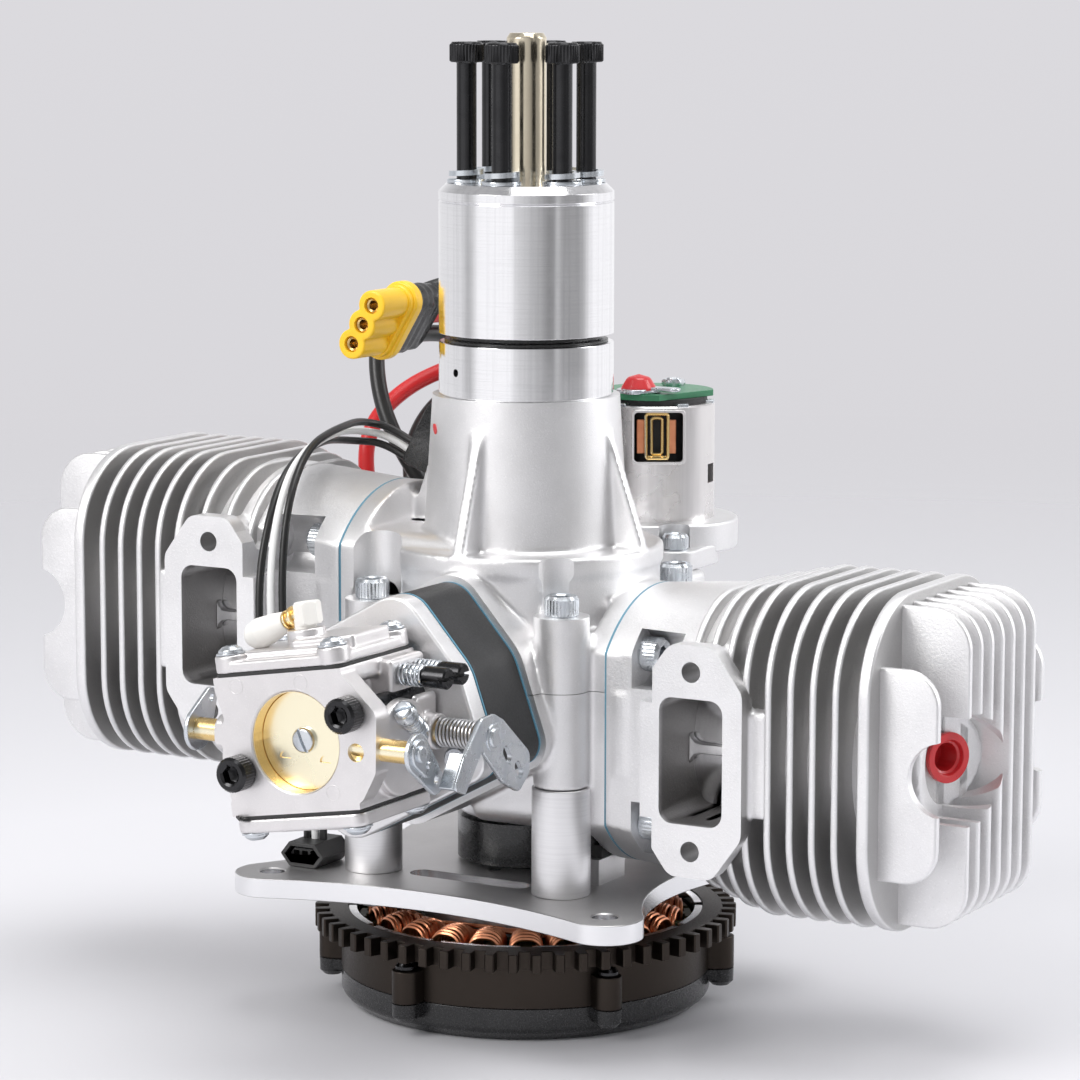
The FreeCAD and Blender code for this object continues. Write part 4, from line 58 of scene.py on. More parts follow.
def spin(angle, axis="Z", at=(0, 0, 0)):
    return move(*at) @ Matrix.Rotation(math.radians(angle), 4, axis) @ move(*(-c for c in at))


def toward(direction, at=(0, 0, 0)):
    """Takes a piece made along +Z to a place, pointing in a direction."""
    turn = Vector((0, 0, 1)).rotation_difference(Vector(direction))
    return move(*at) @ turn.to_matrix().to_4x4()


ALONG_X = Matrix(((0, 0, 1, 0), (1, 0, 0, 0), (0, 1, 0, 0), (0, 0, 0, 1)))
ALONG_Y = Matrix(((1, 0, 0, 0), (0, 0, 1, 0), (0, 1, 0, 0), (0, 0, 0, 1)))
MIRROR = Matrix.Scale(-1, 4, (1, 0, 0))


def make(verts, faces, place=IDENTITY):
    mesh = bpy.data.meshes.new("m")
    points = [(place @ Vector(v)) * MM for v in verts]
    mesh.from_pydata(points, [], faces)
    work = bmesh.new()
    work.from_mesh(mesh)
    bmesh.ops.recalc_face_normals(work, faces=work.faces)
    work.to_mesh(mesh)
    work.free()
    thing = bpy.data.objects.new("piece", mesh)
    SCENE.collection.objects.link(thing)
    return thing


def loft(rings, place=IDENTITY, closed=False):
    """Skins closed rings of the same number of points, and caps the two ends."""
    n = len(rings[0])
    verts = [p for ring in rings for p in ring]
    faces = []
    count = len(rings)
    for k in range(count if closed else count - 1):
        a, b = k * n, ((k + 1) % count) * n
        faces += [(a + i, a + (i + 1) % n, b + (i + 1) % n, b + i) for i in range(n)]
    if not closed:
        faces.append(tuple(range(n))[::-1])
        faces.append(tuple(range((count - 1) * n, count * n)))
    return make(verts, faces, place)


def rounded(corners, radii, steps=6, closed=True):
    """A polyline with an arc at each corner."""
    count = len(corners)
    if not isinstance(radii, (list, tuple)):
        radii = [radii] * count
    out = []
    for i, corner in enumerate(corners):
        if not closed and i in (0, count - 1):
            out.append(tuple(corner))
            continue
        b = Vector(corner).to_2d()
        into = (Vector(corners[i - 1]).to_2d() - b)
        away = (Vector(corners[(i + 1) % count]).to_2d() - b)
        room = min(into.length, away.length) * 0.49
        into.normalize()
        away.normalize()
        half = into.angle(away) / 2
        if half > math.pi / 2 - 0.01 or radii[i] <= 0:
            out.append(tuple(b))
            continue
        reach = min(radii[i] / math.tan(half), room)
        radius = reach * math.tan(half)
        centre = b + (into + away).normalized() * (radius / math.sin(half))
        start, end = b + into * reach - centre, b + away * reach - centre
        turn = start.angle_signed(end)
        for k in range(steps + 1):
            p = start.copy()
            p.rotate(Matrix.Rotation(-turn * k / steps, 2))
            out.append(tuple(centre + p))
    return out


def rect(half_u, half_v, u=0.0, v=0.0):
    return ((u - half_u, v - half_v), (u + half_u, v - half_v),
            (u + half_u, v + half_v), (u - half_u, v + half_v))


def polar(radius, angle, x=0.0, y=0.0):
    return x + radius * math.cos(angle), y + radius * math.sin(angle)


def inset(points, distance):
    """The same closed outline, moved in along its own normals."""
    area = sum(a[0] * b[1] - b[0] * a[1] for a, b in zip(points, points[1:] + points[:1]))
    sign = 1 if area > 0 else -1
    out = []
    count = len(points)
    for i in range(count):
        before, here, after = points[i - 1], points[i], points[(i + 1) % count]
        d1 = Vector((here[0] - before[0], here[1] - before[1])).normalized()
        d2 = Vector((after[0] - here[0], after[1] - here[1])).normalized()
        n = Vector((-d1.y - d2.y, d1.x + d2.x))
        n = n.normalized() if n.length > 1e-6 else Vector((-d1.y, d1.x))
        grow = 1 / max(0.35, n.dot(Vector((-d1.y, d1.x))))
        out.append((here[0] + n.x * distance * grow * sign, here[1] + n.y * distance * grow * sign))
    return out


def slab(points, low, high, edge=0.4, place=IDENTITY, steps=3):
    """A plate with a rounded rim on both faces."""
    if low > high:
        low, high = high, low
    points = [tuple(p) for p in points]
    rings = []
    for k in range(steps + 1):
        a = math.pi / 2 * k / steps
        rings.append((edge * (1 - math.sin(a)), low + edge * (1 - math.cos(a))))
    rings += [(shift, low + high - w) for shift, w in reversed(rings)]
    if edge <= 0:
        rings = [(0, low), (0, high)]
    return loft([[(u, v, w) for u, v in (inset(points, s) if s else points)] for s, w in rings], place)


def spun(profile, place=IDENTITY, segs=96, closed=False):
    """A turned piece from (radius, height) pairs. A radius may be a function of the angle."""
    angles = [TAU * i / segs for i in range(segs)]
    return loft([[(*polar(radius(a) if callable(radius) else radius, a), z) for a in angles]
                 for radius, z in profile], place, closed)


def drum(radius, low, high, place=IDENTITY, edge=0.0, segs=96, top_radius=None):
    r1 = radius if top_radius is None else top_radius
    if edge:
        corners = ((radius - 2 * edge, low), (radius, low), (r1, high), (r1 - 2 * edge, high))
        return spun(rounded(corners, edge, 4, False), place, segs)
    return spun(((radius, low), (r1, high)), place, segs)


def washer(outer, inner, low, high, place=IDENTITY, edge=0.1, segs=64):
    corners = ((inner, low), (outer, low), (outer, high), (inner, high))
    return spun(rounded(corners, edge, 2), place, segs, True)


def brick(x0, x1, y0, y1, z0, z1, edge=0.0, place=IDENTITY):
    corners = rect((x1 - x0) / 2, (y1 - y0) / 2, (x0 + x1) / 2, (y0 + y1) / 2)
    return slab(rounded(corners, edge, 3) if edge else corners, z0, z1, edge, place)


def tube(points, radius, sides=10, closed=False):
    """A round bar along points, with a frame carried from one to the next."""
    pts = [Vector(p) for p in points]
    count = len(pts)
    rings = []
    side = None
    for i, p in enumerate(pts):
        before = pts[i - 1] if i or closed else p
        after = pts[(i + 1) % count] if i < count - 1 or closed else p
        along = (after - before).normalized()
        if side is None:
            side = along.orthogonal().normalized()
        side = (side - along * side.dot(along)).normalized()
        other = along.cross(side)
        rings.append([tuple(p + side * (radius * math.cos(a)) + other * (radius * math.sin(a)))
                      for a in (TAU * k / sides for k in range(sides))])
    return loft(rings, IDENTITY, closed)


def helix(radius, pitch, turns, place, wire, per_turn=24):
    """A coil spring along +Z."""
    steps = range(int(turns * per_turn) + 1)
    return tube([place @ Vector((*polar(radius, TAU * i / per_turn), pitch * i / per_turn)) for i in steps],
                wire, 8)


def bent_bar(section, first, last, steps, x=0.0, y=0.0, rise=0.0):
    """A bar of one (radius, height) section, bent round an upright axis and rising evenly."""
    return loft([[(*polar(r, first + (last - first) * i / steps, x, y), z + rise * i / steps)
                  for r, z in section] for i in range(steps + 1)])


def joined(things):
    work = bmesh.new()
    for thing in things:
        work.from_mesh(thing.data)
    mesh = bpy.data.meshes.new("m")
    work.to_mesh(mesh)
    work.free()
    for thing in things[1:]:
        bpy.data.objects.remove(thing)
    things[0].data = mesh
    return things[0]


def placed(thing, place):
    metres = place.copy()
    metres.translation = place.translation * MM
    thing.data.transform(metres)
    return thing


def copied(thing, place):
    twin = bpy.data.objects.new("piece", thing.data.copy())
    SCENE.collection.objects.link(twin)
    placed(twin, place)
    if place.determinant() < 0:
        twin.data.flip_normals()
    return twin


def copies(thing, places):
    out = joined([copied(thing, p) for p in places])
    bpy.data.objects.remove(thing)
    return out


def baked(thing):
    graph = bpy.context.evaluated_depsgraph_get()
    mesh = bpy.data.meshes.new_from_object(thing.evaluated_get(graph))
    thing.modifiers.clear()
    thing.data = mesh
    return thing


def carve(thing, cutters, kind="DIFFERENCE"):
    for cutter in cutters:
        change = thing.modifiers.new("c", "BOOLEAN")
        change.operation = kind
        change.solver = "MANIFOLD"
        change.object = cutter
    baked(thing)
    for cutter in cutters:
        bpy.data.objects.remove(cutter)
    return thing


def cast(things, voxel=0.7, rounds=6):
    """Runs overlapping solids together, with soft edges and filled corners, as a mould does."""
    thing = joined(things)
    melt = thing.modifiers.new("r", "REMESH")
    melt.mode = "VOXEL"
    melt.voxel_size = voxel * MM
    even = thing.modifiers.new("s", "SMOOTH")
    even.factor = 0.5
    even.iterations = rounds
    return baked(thing)


# Shank and head radius, head height and half the key's width
M5 = (2.5, 4.25, 5.0, 2.0)
M4 = (2.0, 3.5, 4.0, 1.5)


def hex_side(across):
    """The radius of a hexagon by the angle."""
    def radius(a):
        return across / 2 / math.cos((a + math.pi / 6) % (math.pi / 3) - math.pi / 6)
    return radius


def socket_head(shank, head, height, key, length, knurl=0.0, segs=72):
    """A socket head screw along +Z with its head's underside at the origin."""
    def grip(a):
        return head - knurl * (0.5 + 0.5 * math.cos(a * segs / 2))

    six, floor = hex_side(2 * key), height * 0.45
    return spun(((shank - 0.3, -length), (shank, -length + 0.3), (shank, -0.25), (shank + 0.25, 0),
                 (head - 0.35, 0), (grip, 0.35), (grip, height - 0.75), (head - 0.25, height - 0.5),
                 (head - 0.62, height), (key * 1.32, height), (six, height - 0.4), (six, floor),
                 (key * 0.4, floor - 0.5)), segs=segs)


# Materials: every one is procedural, in the coordinates of its own piece

class Look:
    def __init__(self, name, colour, rough, metal=0.0, **sockets):
        self.name = name
        self.material = bpy.data.materials.new(name)
        self.material.use_nodes = True
        self.tree = self.material.node_tree
        self.shader = self.tree.nodes["Principled BSDF"]
        self.coords = self.add("TexCoord").outputs["Object"]
        self.shader.inputs["Base Color"].default_value = (*colour, 1)
        self.shader.inputs["Roughness"].default_value = rough
        self.shader.inputs["Metallic"].default_value = metal
        for key, value in sockets.items():
            self.shader.inputs[key.replace("_", " ")].default_value = value
        self.colour = (*colour, 1)
        self.height = None

    def add(self, kind, **settings):
        node = self.tree.nodes.new("ShaderNode" + kind)
        for key, value in settings.items():
            setattr(node, key, value)
        return node

    def link(self, a, b):
        self.tree.links.new(a, b)

    def value(self, a, b, operation="MULTIPLY"):
        node = self.add("Math", operation=operation)
        for slot, x in zip(node.inputs, (a, b)):
            if isinstance(x, (int, float)):
                slot.default_value = x
            else:
                self.link(x, slot)
        return node.outputs[0]

    def noise(self, scale, detail=3.0, stretch=(1, 1, 1), roughness=0.55):
        mapping = self.add("Mapping")
        mapping.inputs["Scale"].default_value = stretch
        self.link(self.coords, mapping.inputs["Vector"])
        node = self.add("TexNoise")
        node.inputs["Scale"].default_value = scale
        node.inputs["Detail"].default_value = detail
        node.inputs["Roughness"].default_value = roughness
        self.link(mapping.outputs[0], node.inputs["Vector"])
        return node.outputs["Fac"]

    def cells(self, scale):
        node = self.add("TexVoronoi")
        node.inputs["Scale"].default_value = scale
        self.link(self.coords, node.inputs["Vector"])
        return node.outputs["Distance"]

    def spread(self, value, low, high, to_low=0.0, to_high=1.0):
        node = self.add("MapRange")
        self.link(value, node.inputs["Value"])
        for key, x in zip(("From Min", "From Max", "To Min", "To Max"), (low, high, to_low, to_high)):
            node.inputs[key].default_value = x
        return node.outputs["Result"]

    def tint(self, value, other, amount=1.0):
        """Blends the colour so far towards another one by a value."""
        node = self.add("Mix", data_type="RGBA")
        self.link(self.value(value, amount), node.inputs["Factor"])
        socket = self.shader.inputs["Base Color"]
        if socket.is_linked:
            self.link(socket.links[0].from_socket, node.inputs["A"])
        else:
            node.inputs["A"].default_value = self.colour
        node.inputs["B"].default_value = (*other, 1)
        self.link(node.outputs["Result"], socket)
        return self

    def polish(self, value, low, high):
        """Roughness from low to high by a value."""
        self.link(self.spread(value, 0.3, 0.7, low, high), self.shader.inputs["Roughness"])
        return self

    def relief(self, value, depth, strength=1.0):
        """Adds a bump of a depth in millimetres."""
        node = self.add("Bump")
        node.inputs["Distance"].default_value = depth * MM
        node.inputs["Strength"].default_value = strength
        self.link(value, node.inputs["Height"])
        if self.height is not None:
            self.link(self.height, node.inputs["Normal"])
        self.height = node.outputs["Normal"]
        self.link(self.height, self.shader.inputs["Normal"])
        return self

    def facing(self, axis):
        """How far a face looks along an axis, from 0 to 1."""
        geometry = self.add("TexCoord").outputs["Normal"]
        split = self.add("SeparateXYZ")
        self.link(geometry, split.inputs[0])
        return self.value(split.outputs[axis], split.outputs[axis])


def cast_look(name, colour, rough, grain, depth, dirt=0.25):
    look = Look(name, colour, rough, 1.0)
    fine = look.noise(1000 / grain, 4.0, roughness=0.7)
    broad = look.noise(60, 3.0)
    look.tint(look.spread(broad, 0.45, 0.75), tuple(c * 0.86 for c in colour), 0.6)
    look.tint(look.spread(fine, 0.55, 0.75), tuple(min(1, c * 1.16) for c in colour), 0.7)
    look.tint(look.spread(look.cells(1000 / (grain * 2.2)), 0.0, 0.18, 1.0, 0.0),
              tuple(c * 0.7 for c in colour), dirt)
    look.polish(fine, rough - 0.07, rough + 0.1)
    return look.relief(broad, 0.12, 0.4).relief(fine, depth, 1.0)


def turned_look(name, colour, rough, pitch=0.25, depth=0.006, axis=2):
    """Lathe marks run round the piece, square to its axis."""
    stretch = [0.02, 0.02, 0.02]
    stretch[axis] = 1.0
    look = Look(name, colour, rough, 1.0, Anisotropic=0.6)
    marks = look.noise(1000 / pitch, 2.0, stretch)
    look.tint(look.spread(marks, 0.45, 0.8), tuple(c * 0.86 for c in colour), 0.5)
    look.polish(look.noise(90, 3.0), rough - 0.04, rough + 0.06)
    return look.relief(marks, depth, 0.7)


def plated_look(name, colour, rough, tinge):
    look = Look(name, colour, rough, 1.0)
    patch = look.noise(200, 3.0)
    look.tint(look.spread(patch, 0.4, 0.75), tinge, 0.6)
    look.polish(patch, rough - 0.04, rough + 0.06)
    return look.relief(look.noise(2600, 3.0), 0.006, 0.5)


def moulded_look(name, colour, rough, grain=0.35, depth=0.015, shade=0.8, **sockets):
    look = Look(name, colour, rough, 0.0, **sockets)
    fine = look.noise(1000 / grain, 3.0)
    look.tint(look.spread(look.noise(140, 4.0), 0.4, 0.75), tuple(c * shade for c in colour), 0.6)
    look.polish(fine, rough - 0.05, rough + 0.08)
    return look.relief(fine, depth, 0.6)


LOOKS = {look.name: look for look in (
    cast_look("cast_case", (0.83, 0.825, 0.83), 0.4, 0.45, 0.06, 0.35),
    cast_look("cast_cylinder", (0.86, 0.855, 0.86), 0.44, 0.6, 0.1, 0.35),
    cast_look("cast_carburettor", (0.79, 0.77, 0.77), 0.38, 0.34, 0.04, 0.3),
    turned_look("turned_aluminium", (0.93, 0.93, 0.945), 0.13),
    turned_look("tube_satin", (0.82, 0.815, 0.82), 0.36, 0.4, 0.012),
    plated_look("zinc_screw", (0.68, 0.71, 0.74), 0.26, (0.55, 0.6, 0.66)),
    plated_look("black_screw", (0.05, 0.05, 0.052), 0.26, (0.03, 0.03, 0.032)),
    plated_look("pin_nickel", (0.8, 0.72, 0.56), 0.18, (0.74, 0.65, 0.5)),
    turned_look("ground_steel", (0.55, 0.55, 0.56), 0.28, 0.2, 0.006),
    moulded_look("rubber_seal", (0.018, 0.018, 0.018), 0.25),
    moulded_look("gasket_blue", (0.1, 0.26, 0.36), 0.6),
    moulded_look("gasket_black", (0.03, 0.03, 0.03), 0.6),
    moulded_look("insulator", (0.015, 0.015, 0.016), 0.5, 0.5, 0.03, 1.7),
    moulded_look("red_plastic", (0.6, 0.02, 0.025), 0.32, Coat_Weight=0.3),
    moulded_look("white_plastic", (0.84, 0.82, 0.78), 0.45, shade=0.93),
    turned_look("brass", (0.86, 0.62, 0.27), 0.24, 0.35, 0.004, 0),
    cast_look("phosphate", (0.05, 0.041, 0.035), 0.4, 0.5, 0.02, 0.4),
    moulded_look("black_paint", (0.014, 0.014, 0.015), 0.26, 0.5, 0.01, 1.5, Coat_Weight=0.25),
    plated_look("magnet", (0.8, 0.8, 0.8), 0.22, (0.62, 0.62, 0.64)),
    moulded_look("lamination", (0.075, 0.085, 0.03), 0.5, 0.5, 0.03, 0.5),
    plated_look("copper", (0.86, 0.37, 0.2), 0.3, (0.62, 0.2, 0.1)),
    turned_look("starter_steel", (0.82, 0.8, 0.795), 0.28, 0.5, 0.005, 0),
    moulded_look("board_green", (0.03, 0.2, 0.09), 0.45, 0.8, 0.03, 0.7, Coat_Weight=0.2),
    moulded_look("sensor_black", (0.03, 0.03, 0.03), 0.42, 0.5, 0.02, 1.5),
    moulded_look("yellow_plastic", (1.0, 0.6, 0.02), 0.36, 0.4, 0.015, 0.86, Coat_Weight=0.15),
    moulded_look("boot_black", (0.011, 0.011, 0.011), 0.3, 0.9, 0.09, 1.4),
    moulded_look("lead_black", (0.011, 0.011, 0.011), 0.34, 0.5, 0.02, 1.4),
    moulded_look("lead_red", (0.62, 0.014, 0.016), 0.36, 0.5, 0.02, 0.8),
    moulded_look("wire_white", (0.8, 0.8, 0.79), 0.42, 0.5, 0.02, 0.9),
    cast_look("plate_blasted", (0.7, 0.69, 0.69), 0.44, 0.35, 0.03, 0.3),
)}
PLATE, BRASS, TURNED = (LOOKS[name] for name in ("plate_blasted", "brass", "turned_aluminium"))
# The plate's edges and hole walls are lighter than its top: partly their machined finish, partly a painted sheen, as
# on the slot's walls that the lamps don't reach.
UPWARD = PLATE.facing(2)
PLATE.tint(PLATE.spread(UPWARD, 0.0, 0.6, 1.0, 0.0), (0.86, 0.86, 0.87))
PLATE.link(PLATE.spread(UPWARD, 0.0, 0.8, 0.2, 0.46), PLATE.shader.inputs["Roughness"])
# Painted highlight: brass faces that look straight along Y, such as the valve discs' fronts, are lightened as if
# catching the light.
BRASS.tint(BRASS.spread(BRASS.facing(1), 0.9, 0.99), (1.0, 0.93, 0.7))
# Painted reflection: fine upright streaks darken the turned parts, standing in for the reflected bands on the hub.
TURNED.tint(TURNED.spread(TURNED.noise(900, 3.0, (1, 1, 0.01)), 0.48, 0.7), (0.74, 0.74, 0.76), 0.45)


def paint_port_and_fin_shade(look):
    """Painted shade: the exhaust ports' inner walls are darkened as the shade inside them, their bridges left bare,
    and the fins' flat sides greyed as the shade between the fins.
    """
    split = look.add("SeparateXYZ")
    look.link(look.coords, split.inputs[0])
    x, y, z = split.outputs

    def size(value):
        return look.value(value, 0.0, "ABSOLUTE")

    def box(half_u, half_w):
        return look.value(look.value(u, half_u, "LESS_THAN"), look.value(w, half_w, "LESS_THAN"))

    axis_z = look.spread(look.value(x, 0.0, "GREATER_THAN"), 0, 1, LEFT_Z * MM, RIGHT_Z * MM)
    u = size(look.value(size(x), PORT_X * MM, "SUBTRACT"))
    w = size(look.value(z, axis_z, "SUBTRACT"))
    # Painted shade on the walls inside each exhaust port, kept off the bridge.
    inside = look.value(box(0.009, 0.0158), look.spread(y, -0.0412, -0.0395))
    bridge = look.value(box(0.0083, 0.0042), look.value(y, -0.0232, "LESS_THAN"))
    look.tint(look.value(inside, look.value(1.0, bridge, "SUBTRACT")), (0.36, 0.35, 0.345), 0.94)
    # Painted shade: the fins' flat sides are greyed, as the shade between the fins.
    reach = size(x)
    finned = look.value(look.value(reach, 0.1175, "LESS_THAN"), look.value(reach, 0.0605, "GREATER_THAN"))
    look.tint(look.value(look.spread(look.facing(0), 0.5, 0.95), finned), (0.46, 0.455, 0.45), 0.85)


def dress(thing, name, slot, *nodes, body="engine", sharp=32, keep_normals=False):
    """Names a piece, gives it its material and puts it on its body."""
    thing.name = thing.data.name = "look_" + name
    thing.data.materials.clear()
    thing.data.materials.append(LOOKS[slot].material)
    if thing.type == "MESH":
        thing.data.shade_smooth()
        thing.data.set_sharp_from_angle(angle=math.radians(sharp))
        if not keep_normals:
            thing.modifiers.new("even", "WEIGHTED_NORMAL").keep_sharp = True
    if nodes:
        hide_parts(*nodes)
    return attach(thing, body)


# Nodes that no piece replaces keep their shape and take a material of their own

KEPT = {
    "main_bearings": "ground_steel", "crankshaft": "ground_steel", "right_piston": "turned_aluminium",
    "left_piston": "turned_aluminium", "stator_carrier": "cast_case", "sensor_mount": "cast_case",
    "hall_sensor": "sensor_black", "gaskets": "gasket_blue", "throttle_valve": "brass",
    "carburettor_gaskets": "gasket_black", "trigger_ring": "black_paint",
}
for node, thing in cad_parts.items():
    thing.data.materials.clear()
    thing.data.materials.append(LOOKS[KEPT.get(node, "cast_case")].material)


# Camera, floor and light

TARGET = Vector((0.00306, 0.00174, 0.08715))
WALLS = ((-180, 0.78), (-152, 0.74), (-146, 0.5), (-136, 0.56), (-127, 1.0), (-80, 1.0), (-73, 0.68),
         (-58, 0.56), (-42, 0.42), (-30, 0.24), (-24, 0.3), (-19, 0.6), (-13, 0.34), (12, 0.34), (22, 0.5),
         (34, 1.0), (118, 1.0), (150, 0.8), (180, 0.78))
LAMPS = (("key", (-0.55, -1.15, 1.0), (0.6, 0.9), 13.5, (1, 0.99, 0.98)),
         ("rim", (1.2, 0.75, 0.8), (0.6, 1.1), 10.0, (0.98, 0.985, 1)),
         ("top", (0.15, 0.1, 1.4), (1.0, 0.8), 10.0, (1, 1, 1)))


def aimed(name, data, place):
    """A camera or a lamp at a place, turned to the target."""
    thing = bpy.data.objects.new(name, data)
    SCENE.collection.objects.link(thing)
    thing.location = place
    thing.rotation_euler = (TARGET - Vector(place)).to_track_quat("-Z", "Y").to_euler()
    return thing


def camera_and_lamps():
    camera = aimed("camera", bpy.data.cameras.new("camera"), (0.48902, -0.85122, 0.23399))
    camera.data.lens = 130.62
    camera.data.sensor_width = 36
    camera.data.clip_start = 0.05
    turn = camera.rotation_euler.to_matrix() @ Matrix.Rotation(math.radians(0.093), 3, "Z")
    camera.rotation_euler = turn.to_euler()
    SCENE.camera = camera
    SCENE.view_settings.view_transform = "Standard"
    for name, place, size, power, colour in LAMPS:
        light = aimed(name, bpy.data.lights.new(name, "AREA"), place).data
        light.shape = "RECTANGLE"
        light.size, light.size_y = size
        light.energy = power
        light.color = colour


def floor():
    """A pale disc under the rotor's cap, which fades into the backdrop."""
    disc = drum(9000, -40, 0, move(0, 0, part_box("rotor_cap")[0].z / MM), segs=128)
    disc.name = "floor"
    look = Look("floor", (0.61, 0.605, 0.628), 0.7)
    distance = look.add("VectorMath", operation="LENGTH")
    look.link(look.coords, distance.inputs[0])
    fade = look.add("MixShader")
    sources = (look.spread(distance.outputs["Value"], 0.25, 1.3), look.shader.outputs[0],
               look.add("BsdfTransparent").outputs[0])
    for source, socket in zip(sources, fade.inputs):
        look.link(source, socket)
    look.link(fade.outputs[0], look.tree.nodes["Material Output"].inputs["Surface"])
    disc.data.materials.append(look.material)


def backdrop():
    """A pale backdrop, an even light, and banded walls that only glossy surfaces mirror."""
    SCENE.world = bpy.data.worlds.new("studio")
    SCENE.world.use_nodes = True
    nodes, links = SCENE.world.node_tree.nodes, SCENE.world.node_tree.links

    def add(kind, *feeds, **values):
        node = nodes.new("ShaderNode" + kind)
        for key, x in values.items():
            node.inputs[key.replace("_", " ")].default_value = x
        for feed, socket in zip(feeds, node.inputs):
            links.new(feed, socket)
        return node

    def ramp(value, stops):
        node = add("ValToRGB", value)
        for spot, colour in stops:
            elements = node.color_ramp.elements
            stop = elements.new(spot) if 0 < spot < 1 else elements[-int(spot > 0.5)]
            stop.color = (*colour, 1)
        return node.outputs[0]

    plain = nodes["Background"]
    plain.inputs["Color"].default_value = (0.93, 0.94, 0.96, 1)
    plain.inputs["Strength"].default_value = 0.78
    split = add("SeparateXYZ", add("TexCoord").outputs["Generated"])
    bearing = add("Math", split.outputs["Y"], split.outputs["X"])
    bearing.operation = "ARCTAN2"
    share = add("MapRange", bearing.outputs[0], From_Min=-math.pi, From_Max=math.pi)
    walls = ramp(share.outputs[0], [(degrees / 360 + 0.5, (tone, tone * 0.995, tone * 1.015))
                                    for degrees, tone in WALLS])
    ceiling = add("MapRange", split.outputs["Z"], From_Min=0.1, From_Max=0.6, To_Min=1.0, To_Max=0.55)
    room = add("Background", walls, ceiling.outputs[0])
    height = add("MapRange", split.outputs["Z"], From_Min=-0.3, From_Max=0.1)
    shown = add("Background", ramp(height.outputs[0], ((0, (0.66, 0.65, 0.68)), (1, (0.73, 0.72, 0.75)))))
    path = add("LightPath").outputs
    mix = add("MixShader", path["Is Glossy Ray"], plain.outputs[0], room.outputs[0])
    last = add("MixShader", path["Is Camera Ray"], mix.outputs[0], shown.outputs[0])
    links.new(last.outputs[0], nodes["World Output"].inputs["Surface"])


camera_and_lamps()
floor()
backdrop()


# Crankcase: one casting, cut into its front and rear halves

RIGHT_Z, LEFT_Z = 44.3, 65.2
SIDES = ((IDENTITY, RIGHT_Z), (MIRROR, LEFT_Z))
SPLIT_Z, NOSE_TOP, SLEEVE_TOP = 56.0, 124.6, 137.9
CASE_X, CASE_Y = 38.0, 27.6
PILLARS = [(sx * 27.2, sy * 29.9) for sx in (1, -1) for sy in (-1, 1)]
BORE_X, BORE_Z = -4.2, 52.0
AT_BORE = move(BORE_X, 0, BORE_Z)
INTAKE_Y = 40.0
STARTER_X, STARTER_Y = 4.8018, 61.0113
EAR_X, EAR_Y = 14.8, STARTER_Y - 17.0
PLATE_T = 5.0


def mouth_block(x0, x1, dome_x0, axis_z=0.0, place=IDENTITY):
    """The square block at a cylinder's mouth, and the domes over and under it."""
    outline = rounded(rect(CASE_Y, 25.3, 0, axis_z), 6, 8)
    dome = drum(35, dome_x0, x1, place @ move(0, 0, axis_z) @ ALONG_X, segs=144)
    flat = brick(-60, 60, -CASE_Y, CASE_Y, axis_z - 40, axis_z + 40)
    return [slab(outline, x0, x1, 0, place @ ALONG_X), carve(dome, [flat], "INTERSECT")]


def intake_outline(margin=0.0):
    half = ((7.6, 32.2), (24.1, 13.7), (32.6, -10.3))
    corners = [(BORE_X + u, BORE_Z + v) for u, v in half] + [(BORE_X - u, BORE_Z - v) for u, v in half]
    points = rounded(corners, (8, 14, 6, 8, 14, 6), 10)
    return inset(points, -margin) if margin else points


def crankcase():
    sump = ((0.1, 17.7), (16.9, 17.7), (16.9, 21.0), (16.2, 21.3), (16.2, 22.0), (18.1, 22.4), (18.1, 26.6),
            (23, 27.4), (31, 31.5), (34, 38), (34, 84), (0.1, 84))
    sump = spun(rounded(sump, [0, 0.5, 0.2, 0.1, 0.1, 0.5, 0.4, 3, 4, 3, 0, 0], 4, False), segs=144)
    parts = [sump, drum(34.8, 82.6, 87.4, edge=0.5, segs=144)]
    for side, z in SIDES:
        parts += mouth_block(0, CASE_X + 1.5, 32.5, z, side)
    parts += [drum(6.9, 32, 75.4, move(x, y), segs=48) for x, y in PILLARS]
    rib = ((17.6, 86.4), (34, 86.4), (34, 88.9), (22.6, 121.5))
    parts += [slab(intake_outline(1.6), -INTAKE_Y - 1.5, -19.6, 0, ALONG_Y),
              brick(STARTER_X - 22, STARTER_X + 22, 20, 48.5, 58, 75.6, 2.0),
              drum(26, 86.4, 126, segs=144, top_radius=23.55)]
    parts += [slab(rib, -1.7, 1.7, 0, spin(90 * k) @ ALONG_Y) for k in range(4)]
    body = cast(parts, 0.62, 7)
    cuts = [drum(28, 31, 78.5), drum(12, 10, 140), brick(CASE_X, 60, -80, 80, -10, 110),
            brick(-60, -CASE_X, -80, 80, 10, 120), brick(-60, 60, -60, -INTAKE_Y, 0, 100),
            brick(-60, 60, -60, 60, NOSE_TOP, 150)]
    cuts += [drum(25.7, 20, 50, side @ move(0, 0, z) @ ALONG_X) for side, z in SIDES]
    cuts += [drum(7.4, 74.4, 95, move(x, y)) for x, y in PILLARS]
    body = carve(body, cuts)
    twin = copied(body, IDENTITY)
    front = carve(body, [brick(-90, 90, -90, 90, 0, SPLIT_Z + 0.08)])
    rear = carve(twin, [brick(-90, 90, -90, 90, SPLIT_Z - 0.08, 160)])
    dress(front, "case_front", "cast_case", "crankcase_front", keep_normals=True)
    dress(rear, "case_rear", "cast_case", "crankcase_rear", keep_normals=True)


# Cylinders: the right one is built round the X axis, and serves both sides

